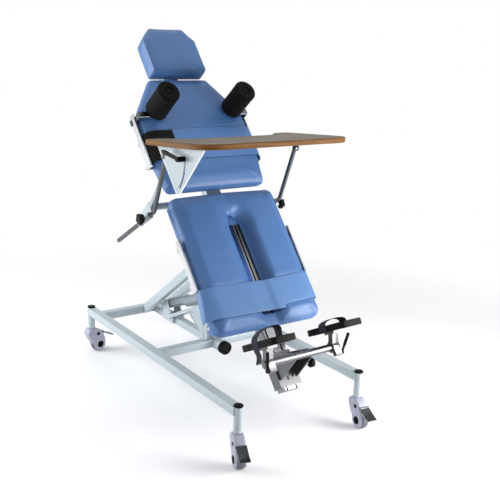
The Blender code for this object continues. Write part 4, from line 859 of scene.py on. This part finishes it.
# A flat band: a rounded strip section carried along a line in the x-k plane, lying along s.
def bandGrid(line, values, toWorld):
    path, length = easedLine(line, values["radius"], values.get("spacing", 0.006))
    ahead = directions(path)
    outward = np.stack([-ahead[:, 1], ahead[:, 0]], axis=-1)
    low, high = values["span"]
    angle = np.linspace(0, 2 * math.pi, 40, endpoint=False)
    across = squared(np.cos(angle), 0.30) * ((high - low) / 2)
    rise = (squared(np.sin(angle), 0.8) + 1) / 2 * values["thick"]
    x = path[:, 0][:, None] + outward[:, 0][:, None] * rise
    k = path[:, 1][:, None] + outward[:, 1][:, None] * rise
    s = (low + high) / 2 + across + values["lean"] * x
    uvs = np.stack([length[:, None] + 0 * x, across + 0 * x], axis=-1)
    return toWorld(np.stack([x, s, k], axis=-1)), tubeFaces(*x.shape), uvs, length[-1]


def strapPiece(name, line, values, body="table", toWorld=fromBed):
    points, faces, uvs, length = bandGrid(line, values, toWorld)
    piece = asPiece(name, points, faces, finishes[values["finish"]], body, values["stands"], sharp=50,
                    uvs=uvs, merge=0)
    return piece


# Points of a band coming up a pad's right side and over its soft border, that far off the pad.
def overEdge(half, away):
    points = [(half + away, 0.002 - bed["cushion"]), (half + away, bed["softEdge"][0][1])]
    return points + [(half - inset + away * 0.7, k + away) for inset, k in bed["softEdge"][1:]]


# A band's line over the pad's top and down one of its sides.
def bandLine(values):
    edge = overEdge(bed[values["half"]], values["away"])
    top = [(x, bed["crown"] + values["away"] + lift) for x, lift in values["top"]]
    return [(-x, k) for x, k in edge] + top if values["downLeft"] else top + edge[::-1]


flare = {"across": (0.258, 0.300), "along": (0.07, 0.215), "least": 0.010, "more": 0.022}


# The leg band's left end stands off the pad's side, more at its lower edge than at its upper one.
def flared(points):
    x, s, k = points[..., 0], points[..., 1], points[..., 2]
    out = eased(-x, *flare["across"]) * (flare["least"] + flare["more"] * (1 - eased(s, *flare["along"])))
    return fromBed(np.stack([x - out, s, k], axis=-1))


for name, values in straps.items():
    strapPiece(name, bandLine(values), values, toWorld=flared if name == "legStrap" else fromBed)

foot = {"x": 0.175, "s": -0.105, "k": 0.140, "pitch": math.radians(28), "toeOut": math.radians(1), "width": 0.120,
        "depth": 0.028, "seat": 0.0003, "arch": {"left": (0.048, 0.036), "right": (0.022, 0.010)},
        "sideLow": -0.010, "finish": "footWebbing", "slot": "grey_webbing", "spacing": 0.004, "lean": 0.0,
        "strap": {"span": (-0.032, 0.016), "thick": 0.0026, "radius": 0.004},
        "tail": {"span": (-0.028, 0.010), "thick": 0.0022, "radius": 0.01, "stands": (), "rests": ("footStrapLeft",)},
        # The loose end's way down: how far left of the sole's side, and how high.
        "tailLine": [(0.0028, 0.004), (0.0045, -0.020), (-0.004, -0.045), (0.010, -0.075)]}


# The sole's own frame: turned out a little about its normal, pitched down toward the toes, set at its centre.
def soleFrame(side):
    turn = Matrix.Rotation(-foot["pitch"], 3, "X") @ Matrix.Rotation(side * foot["toeOut"], 3, "Z")
    origin = fromBed([side * foot["x"], foot["s"], foot["k"]])
    return placedBy(origin, *[list(turn.col[axis]) for axis in range(3)])


for side, label in ((-1, "left"), (1, "right")):
    half, (rise, lean) = foot["width"] / 2 + foot["seat"], foot["arch"][label]
    angle = np.linspace(math.pi, 0, 17)
    height = np.sin(angle) ** 0.8
    arch = np.stack([half * np.cos(angle) + lean * height**2, foot["depth"] / 2 + rise * height], axis=-1)
    line = [(-half, foot["sideLow"]), *arch.tolist(), (half, foot["sideLow"])]
    strap = {**foot, **foot["strap"], "stands": ("foot_strap_" + label,), "rests": ("foot_plate_" + label,)}
    strapPiece("footStrap" + label.capitalize(), line, strap, "foot_" + label, soleFrame(side))
    if label == "left":
        tail = [(-half - out, height) for out, height in foot["tailLine"]]
        strapPiece("footStrapEnd", tail, {**foot, **foot["tail"]}, "foot_left", soleFrame(side))
print("straps laid")

roller = {"x": 0.207, "s": 1.093, "low": 0.0170, "high": 0.174, "radius": 0.0535, "bore": 0.0086, "boreDeep": 0.012,
          "rounded": 0.010, "waist": 0.0012, "wallFrom": 0.012,
          # The sunk plug's rings: radius and depth below the end.
          "plug": [(0.024, 0.0002), (0.0215, 0.002), (0.021, 0.007), (0.0195, 0.0062), (0.013, 0.0034),
                   (0.0, 0.0026)]}


# A foam tube turned about its pin, softly waisted, with a rounded rim and a plug sunk in the end.
def makeRoller(side, label):
    low, high, radius, rounded = (roller[key] for key in ("low", "high", "radius", "rounded"))
    height = np.linspace(low + roller["wallFrom"], high - roller["wallFrom"], 24)
    share = (height - low) / (high - low)
    wall = np.stack([radius - roller["waist"] * np.sin(share * math.pi), height], axis=-1)
    angle = np.linspace(-math.pi / 2, 0, 7)
    out, up = radius - rounded + rounded * np.cos(angle), rounded + rounded * np.sin(angle)
    lower, upper = np.stack([out, low + up], axis=-1), np.stack([out, high - up], axis=-1)[::-1]
    start = [(0.0, high - roller["boreDeep"]), (roller["bore"], high - roller["boreDeep"]), (roller["bore"], low)]
    plug = [(far, high - deep) for far, deep in roller["plug"]]
    points, faces = turnedGrid(np.concatenate([start, lower, wall, upper, plug]), 72)
    local = points + np.array([side * roller["x"], roller["s"], 0])
    asPiece("roller" + label.capitalize(), fromBed(local), faces, finishes["rollerFoam"], "roller_" + label,
            ("foam_roller_" + label,), sharp=55)


for side, label in ((-1, "left"), (1, "right")):
    makeRoller(side, label)

caster = {"x": 0.325, "y": 0.675, "trail": 0.040, "radius": 0.040, "half": 0.015, "bore": 0.0061, "outer": 0.0248,
          # The wheel's web as radius and depth in from its side, its shoulder as drop from the tread and that depth,
          # and one groove as drop from the tread and distance from the wheel's middle.
          "web": [(0.012, 0.0), (0.013, 0.004), (0.027, 0.004), (0.029, 0.0)],
          "shoulder": [(0.006, 0.0), (0.0015, 0.003), (0.0, 0.0075)],
          "groove": [(0.0, 0.0035), (0.0008, 0.0030), (0.0008, 0.0022), (0.0, 0.0016)],
          # Caps on both cheeks as y, z and radius, and their height; the stem's cap as z, radius and height.
          "caps": {"axleCap": (-0.040, 0.040, 0.0185), "pinCap": (-0.026, 0.102, 0.0094)}, "capHeight": 0.0012,
          "stem": (0.2504, 0.0200, 0.0066),
          "turns": {"front_left": (-1, -1, -20), "front_right": (1, -1, -8), "rear_left": (-1, 1, 100),
                    "rear_right": (1, 1, 45)}}


# The swivel's own frame: at the stem's foot on the floor, turned about the vertical.
def swivelFrame(label):
    side, end, degrees = caster["turns"][label]
    cosine, sine = math.cos(math.radians(degrees)), math.sin(math.radians(degrees))
    origin = centred(side * caster["x"], end * caster["y"], 0)
    return placedBy(origin, (cosine, sine, 0), (-sine, cosine, 0))


# A form turned about a caster's axle, in the swivel's own frame.
def aboutAxle(profile, steps):
    points, faces = turnedGrid(profile, steps)
    return points.reshape(-1, 3)[:, [2, 1, 0]] + np.array([0, -caster["trail"], caster["radius"]]), faces


# A wheel turned about its axle: rounded tread with two fine grooves, recessed web, raised hub.
def makeWheel(label):
    radius, half, bore = caster["radius"], caster["half"], caster["bore"]
    outer = [(bore, -half), *[(far, deep - half) for far, deep in caster["web"]],
             *[(radius - drop, deep - half) for drop, deep in caster["shoulder"]],
             *[(radius - drop, -aside) for drop, aside in caster["groove"]]]
    local, faces = aboutAxle(outer + [(a, -b) for a, b in reversed(outer)] + outer[:1], 64)
    asPiece("wheel_" + label, swivelFrame(label)(local), faces, finishes["casterTread"], "wheel_" + label,
            ("caster_wheel_" + label,), sharp=40)


hood = {"half": 0.0245, "round": 0.0075, "wellHalf": 0.0166, "wellRadius": 0.0425,
        "cheek": 0.0358, "mouth": (188, 352),  # the round cheek's radius, first and last degree
        "outline": [(0.000, 0.050), (0.026, 0.086), (0.034, 0.108), (0.030, 0.125), (0.016, 0.135), (-0.004, 0.1365),
                    (-0.026, 0.131), (-0.046, 0.118), (-0.062, 0.094), (-0.073, 0.068)]}


# Corner cutting: each side of the closed outline keeps its points at one and three quarters.
def roundedOutline(points, times):
    for _ in range(times):
        following = np.roll(points, -1, axis=0)
        points = np.stack([points * 0.75 + following * 0.25, points * 0.25 + following * 0.75], 1).reshape(-1, 2)
    return points


# A caster's hood: its outline swept across the width and drawn in along a quarter circle at both rims.
def makeHood(label):
    turn, cheek = np.radians(np.linspace(*hood["mouth"], 12)), hood["cheek"]
    around = np.stack([-caster["trail"] + cheek * np.cos(turn), caster["radius"] + cheek * np.sin(turn)], axis=-1)
    outline = roundedOutline(np.concatenate([around, np.array(hood["outline"])]), 3)
    ahead = np.roll(outline, -1, axis=0) - np.roll(outline, 1, axis=0)
    ahead /= np.linalg.norm(ahead, axis=1, keepdims=True)
    inward = np.stack([-ahead[:, 1], ahead[:, 0]], axis=-1)
    angle = np.radians(np.linspace(0, 90, 7))
    near = -hood["half"] + hood["round"] * (1 - np.sin(angle))
    across = np.concatenate([near[::-1], -near])
    drawn = hood["round"] * (1 - np.cos(np.concatenate([angle[::-1], angle])))
    flat = outline[None] + inward[None] * drawn[:, None, None]
    sides = np.broadcast_to(across[:, None, None], (*flat.shape[:2], 1))
    local = np.concatenate([sides, flat], axis=-1)
    place = swivelFrame(label)
    mesh = newMesh("hood_" + label, place(local.reshape(-1, 3)), tubeFaces(len(across), len(outline)))
    tidyMesh(mesh, 1e-6)
    piece, well = newObject("hoodStart", mesh), wheelWell(place)
    cut = piece.modifiers.new("well", "BOOLEAN")
    cut.operation, cut.solver, cut.object = "DIFFERENCE", "EXACT", well
    mesh = evaluatedMesh(piece)
    for used in (piece, well):
        bpy.data.objects.remove(used)
    mesh.name = "hood_" + label
    mesh.materials.clear()
    finished(mesh, "hood_" + label, 40, finishes["casterHood"], "caster_" + label, ("caster_housing_" + label,))


# The wheel's room: a turned disc round the axle.
def wheelWell(place):
    half, radius = hood["wellHalf"], hood["wellRadius"]
    local, faces = aboutAxle([(0.0, -half), (radius, -half), (radius, half), (0.0, half)], 48)
    mesh = newMesh("well", place(local), faces)
    tidyMesh(mesh, 1e-6)
    return newObject("well", mesh)


# A bar with a rounded section carried along a line in the local y-z plane, set at one local x.
def makeBar(name, line, place, wide, thick, toWorld, finish, body, closed=False):
    ahead = np.roll(line, -1, axis=0) - np.roll(line, 1, axis=0) if closed else np.gradient(line, axis=0)
    ahead = ahead / np.linalg.norm(ahead, axis=1, keepdims=True)
    inward = np.stack([-ahead[:, 1], ahead[:, 0]], axis=-1)
    angle = np.linspace(0, 2 * math.pi, 20, endpoint=False)
    along, out = squared(np.cos(angle), 0.4) * wide / 2, squared(np.sin(angle), 0.4) * thick / 2
    flat = line[:, None] + inward[:, None] * along[None, :, None]
    local = np.concatenate([np.broadcast_to((place + out)[None, :, None], (*flat.shape[:2], 1)), flat], axis=-1)
    rows, sides = flat.shape[:2]
    faces = gridFaces(rows, sides, True, True) if closed else tubeFaces(rows, sides)
    asPiece(name, toWorld(local.reshape(-1, 3)), faces, finishes[finish], body, sharp=60)


guide = {"pivot": (0.761, 0.180), "face": -0.360,
         "corners": [(-0.322, 0.0412), (-0.112, -0.1615), (0.0435, 0.0412)], "tip": 0.026,
         "bead": (0.0042, 0.0022), "ringThick": 0.0018,
         "slot": (0.1735, 0.0050, 178, 226),  # radius, half width, first and last degree
         # Rings round the slot as name, distance out from its edge, width and finish; slotShade is a black bead of
         # painted shade that makes the slot read wider and darker.
         "rings": [("slotShade", 0.0014, 0.0026, "blackMoulding"), ("slotRim", 0.0040, 0.0026, "rimPaint")]}


# The raised rim of the slotted plate: a bead along its two free edges, and round the slot a black bead of painted
# shade and a pale rim bead.
def makeGuideRims():
    origin = fromBed([0.0, *guide["pivot"]])
    cosine, sine = math.cos(bed["trayRise"]), math.sin(bed["trayRise"])
    toWorld = placedBy(origin, (1, 0, 0), (0, cosine, -sine), (0, sine, cosine))
    line, _ = easedLine(guide["corners"], guide["tip"], 0.005)
    makeBar("guideRim", line, guide["face"], *guide["bead"], toWorld, "rimPaint", "tray")
    radius, half, start, end = guide["slot"]
    turn = np.radians(np.linspace(start, end, 28))[:, None]
    middle = np.concatenate([np.cos(turn), np.sin(turn)], axis=1)
    for name, away, wide, finish in guide["rings"]:
        around = np.concatenate([(radius - half - away) * middle, (radius + half + away) * middle[::-1]])
        makeBar(name, around, guide["face"], wide, guide["ringThick"], toWorld, finish, "tray", closed=True)


wing = {"line": [(0.660, -0.170), (0.672, -0.120), (0.690, -0.050), (0.703, 0.000), (0.708, 0.042)], "x": -0.3290,
        "wide": 0.020, "thick": 0.0056, "radius": 0.030, "spacing": 0.006}
tubeMouthShade = {"x": 0.346, "end": (0.6823, -0.4523), "away": (0.1451, -0.9894), "gap": 0.0002, "radius": 0.0094,
            "height": 0.0022}


# The tray carrier's curved bar behind the left tube.
def makeWing():
    line, _ = easedLine(wing["line"], wing["radius"], wing["spacing"])
    makeBar("carrierWing", line, wing["x"], wing["wide"], wing["thick"], fromBed, "platePaint", "table")


# A black disc in the lower end of a tray tube: painted shade standing in for the dark inside of its open end.
def makeTubeMouthShade(side, label):
    origin = fromBed([side * tubeMouthShade["x"], *tubeMouthShade["end"]])
    away = fromBed([0, *tubeMouthShade["away"]]) - fromBed([0, 0, 0])
    place = placedBy(origin + away * tubeMouthShade["gap"], (1, 0, 0), np.cross(away, (1, 0, 0)), away)
    makeCap("tubeMouthShade" + label, place, tubeMouthShade["radius"], tubeMouthShade["height"], "blackMoulding", "tray_arms")


# A domed cap turned about its axis, from a foot ring at its base up to a low crown.
def makeCap(name, toWorld, radius, height, finish, body):
    edge = 0.0015
    profile = [(0.0, 0.0), (radius, 0.0), (radius, height - edge), (radius - edge, height),
               (radius * 0.6, height + edge * 0.5), (0.0, height + edge * 0.8)]
    points, faces = turnedGrid(profile, 32)
    asPiece(name, toWorld(points.reshape(-1, 3)), faces, finishes[finish], body)


# Turned forms about one axis each, in the CAD's measures: rings as radius and height along the axis.
stub = {"at": (0, -0.106, 0.228), "inner": [(0.0, -0.018), (0.0292, -0.018), (0.0292, -0.020)],
        "wall": (-0.020, 0.004), "radius": 0.0306, "rib": 0.0007, "ribs": 4,
        "end": [(0.0285, 0.0068), (0.0230, 0.0074), (0.0215, 0.0050), (0.0, 0.0046)]}
sleeve = {"at": (0, -0.009, 0),
          "rings": [(0.0, 0.3352), (0.012, 0.3352), (0.0172, 0.3340), (0.0190, 0.3310), (0.0192, 0.300),
                    (0.0188, 0.296), (0.0181, 0.2955), (0.0, 0.2955)]}


def turnedPiece(name, profile, steps, toWorld, finish):
    points, faces = turnedGrid(profile, steps)
    asPiece(name, toWorld(points.reshape(-1, 3)), faces, finishes[finish], "base", sharp=35)


# The black plug on the stub of the front cross member: ribs round it, a chamfer and a dished end.
def makeStubPlug():
    waves = np.cos(np.linspace(0, stub["ribs"] * 2 * math.pi, 41))
    wall = np.stack([stub["radius"] + stub["rib"] * waves, np.linspace(*stub["wall"], 41)], axis=-1)
    toWorld = placedBy(centred(*stub["at"]), (1, 0, 0), (0, 0, 1), (0, -1, 0))
    turnedPiece("stubPlug", np.concatenate([stub["inner"], wall, stub["end"]]), 48, toWorld, "blackMoulding")


# The rubber sleeve of the stop that the bed's column comes down on.
def makeStopSleeve():
    turnedPiece("stopSleeve", sleeve["rings"], 40, placedBy(centred(*sleeve["at"])), "darkBuffer")


# A caster's caps: one for the axle and one for the pin on each cheek, and one on the stem above.
def makeCasterCaps(label):
    place, up = swivelFrame(label), np.array([0, 0, 1.0])
    for cheek, where in ((-1, "inner"), (1, "outer")):
        out = place([cheek * 1.0, 0, 0]) - place([0, 0, 0])
        for name, (y, z, radius) in caster["caps"].items():
            toWorld = placedBy(place([cheek * caster["outer"], y, z]), np.cross(up, out), up, out)
            makeCap(f"{name}_{label}_{where}", toWorld, radius, caster["capHeight"], "capBlack", "caster_" + label)
    side, end, _ = caster["turns"][label]
    z, radius, height = caster["stem"]
    stem = placedBy(centred(side * caster["x"], end * caster["y"], z))
    makeCap("stemCap_" + label, stem, radius, height, "blackMoulding", "base")


makeStubPlug()
makeStopSleeve()
makeGuideRims()
makeWing()
for side, label in ((-1, "Left"), (1, "Right")):
    makeTubeMouthShade(side, label)
for label in caster["turns"]:
    makeWheel(label)
    makeHood(label)
    makeCasterCaps(label)
print("turned pieces made")

stage = {"size": 9.0, "low": -0.0006, "near": 1.0, "far": 2.6, "floor": (236, 236, 238)}


# The emptied node tree of a material or world.
def emptyTree(owner):
    owner.use_nodes = True
    owner.node_tree.nodes.clear()
    return owner.node_tree


# 1 where the camera sees the surface itself or through something clear, 0 where it only lights or shows in a
# reflection.
def seenDirectly(tree):
    rays = addNode(tree, "ShaderNodeLightPath").outputs
    return calculate(tree, "MAXIMUM", rays["Is Camera Ray"], rays["Is Transmission Ray"])


# The floor keeps its shadow near the table and fades to plain white further out.
def makeStage():
    half = stage["size"]
    mesh = newMesh("floor", [(-half, -half, 0), (half, -half, 0), (half, half, 0), (-half, half, 0)], [(0, 1, 2, 3)])
    floor = newObject("floor", mesh)
    floor.location.z = stage["low"]
    material = bpy.data.materials.new("floorFade")
    tree = emptyTree(material)
    place = addNode(tree, "ShaderNodeTexCoord").outputs["Object"]
    reach = addNode(tree, "ShaderNodeVectorMath", {0: place}, operation="LENGTH").outputs["Value"]
    fade = mapped(tree, reach, stage["near"], stage["far"])
    plainFloor = addNode(tree, "ShaderNodeBsdfDiffuse", {"Color": linear(*stage["floor"])}).outputs[0]
    white = addNode(tree, "ShaderNodeEmission", {"Color": (1, 1, 1, 1), "Strength": 1.0}).outputs[0]
    share = calculate(tree, "MULTIPLY", fade, seenDirectly(tree))
    mix = addNode(tree, "ShaderNodeMixShader", {0: share, 1: plainFloor, 2: white}).outputs[0]
    addNode(tree, "ShaderNodeOutputMaterial", {"Surface": mix})
    mesh.materials.append(material)


light = {
    "aim": (0.0, 0.0, 0.8),
    "sides": 0.20,
    "above": 0.46,
    # Bright windows: direction, where they start and are full as the cosine from it, and how bright.
    "windows": [((-0.75, -0.45, 0.48), 0.90, 0.97, 1.3), ((0.62, -0.42, 0.66), 0.90, 0.98, 1.1),
                ((0.35, 0.80, 0.48), 0.88, 0.96, 0.8)],
    "key": {"place": (1.2, -1.6, 0.7), "size": 1.1, "power": 56.0, "tone": (1.0, 0.99, 0.97)},
    "fill": {"place": (-2.5, 1.7, 1.4), "size": 2.0, "power": 100.0, "tone": (0.97, 0.985, 1.0)},
    "top": {"place": (0.4, 0.9, 4.2), "size": 2.6, "power": 26.0, "tone": (1.0, 1.0, 1.0)},
}


# The studio round the table: darker at the sides than above, with broad windows that polished pieces mirror.
def makeSky():
    scene.world = bpy.data.worlds.new("studio")
    tree = emptyTree(scene.world)
    heading = addNode(tree, "ShaderNodeTexCoord").outputs["Generated"]
    height = addNode(tree, "ShaderNodeSeparateXYZ", {"Vector": heading}).outputs[2]
    strength = mapped(tree, height, -0.3, 0.95, light["sides"], light["above"])
    for toward, start, full, glow in light["windows"]:
        unit = Vector(toward).normalized()
        facing = addNode(tree, "ShaderNodeVectorMath", {0: heading, 1: unit}, operation="DOT_PRODUCT")
        window = mapped(tree, facing.outputs["Value"], start, full, 0.0, glow)
        strength = calculate(tree, "ADD", strength, window)
    shown = blended(tree, seenDirectly(tree), strength, 1.0, "FLOAT")
    sky = addNode(tree, "ShaderNodeBackground", {"Color": (1, 1, 1, 1), "Strength": shown})
    addNode(tree, "ShaderNodeOutputWorld", {"Surface": sky.outputs[0]})


def makeLamps():
    aim = Vector(light["aim"])
    for name in ("key", "fill", "top"):
        values = light[name]
        data = bpy.data.lights.new(name, "AREA")
        data.size = values["size"]
        data.energy = values["power"]
        data.color = values["tone"]
        lamp = newObject(name, data)
        lamp.location = values["place"]
        lamp.rotation_euler = (aim - lamp.location).to_track_quat("-Z", "Y").to_euler()


camera = {
    "azimuth": -36.44,
    "elevation": 15.20,
    "roll": 2.43,
    "focalPixels": 803.83,
    "framePixels": 500,
    "place": (-2.0520, -2.98335, 1.6830),
}


def placeCamera():
    turn = math.radians(camera["azimuth"])
    rise = math.radians(camera["elevation"])
    back = Vector((math.sin(turn) * math.cos(rise), -math.cos(turn) * math.cos(rise), math.sin(rise)))
    right = Vector((math.cos(turn), math.sin(turn), 0))
    upward = back.cross(right)
    spin = math.radians(camera["roll"])
    across = right * math.cos(spin) + upward * math.sin(spin)
    above = upward * math.cos(spin) - right * math.sin(spin)
    data = bpy.data.cameras.new("camera")
    data.sensor_fit = "AUTO"
    data.sensor_width = 36.0
    data.lens = camera["focalPixels"] / camera["framePixels"] * data.sensor_width
    eye = newObject("camera", data)
    eye.matrix_world = Matrix.Translation(camera["place"]) @ Matrix((across, above, back)).transposed().to_4x4()
    scene.camera = eye


makeStage()
makeSky()
makeLamps()
placeCamera()
scene.view_settings.view_transform = "Standard"
print("stage, light and camera placed")
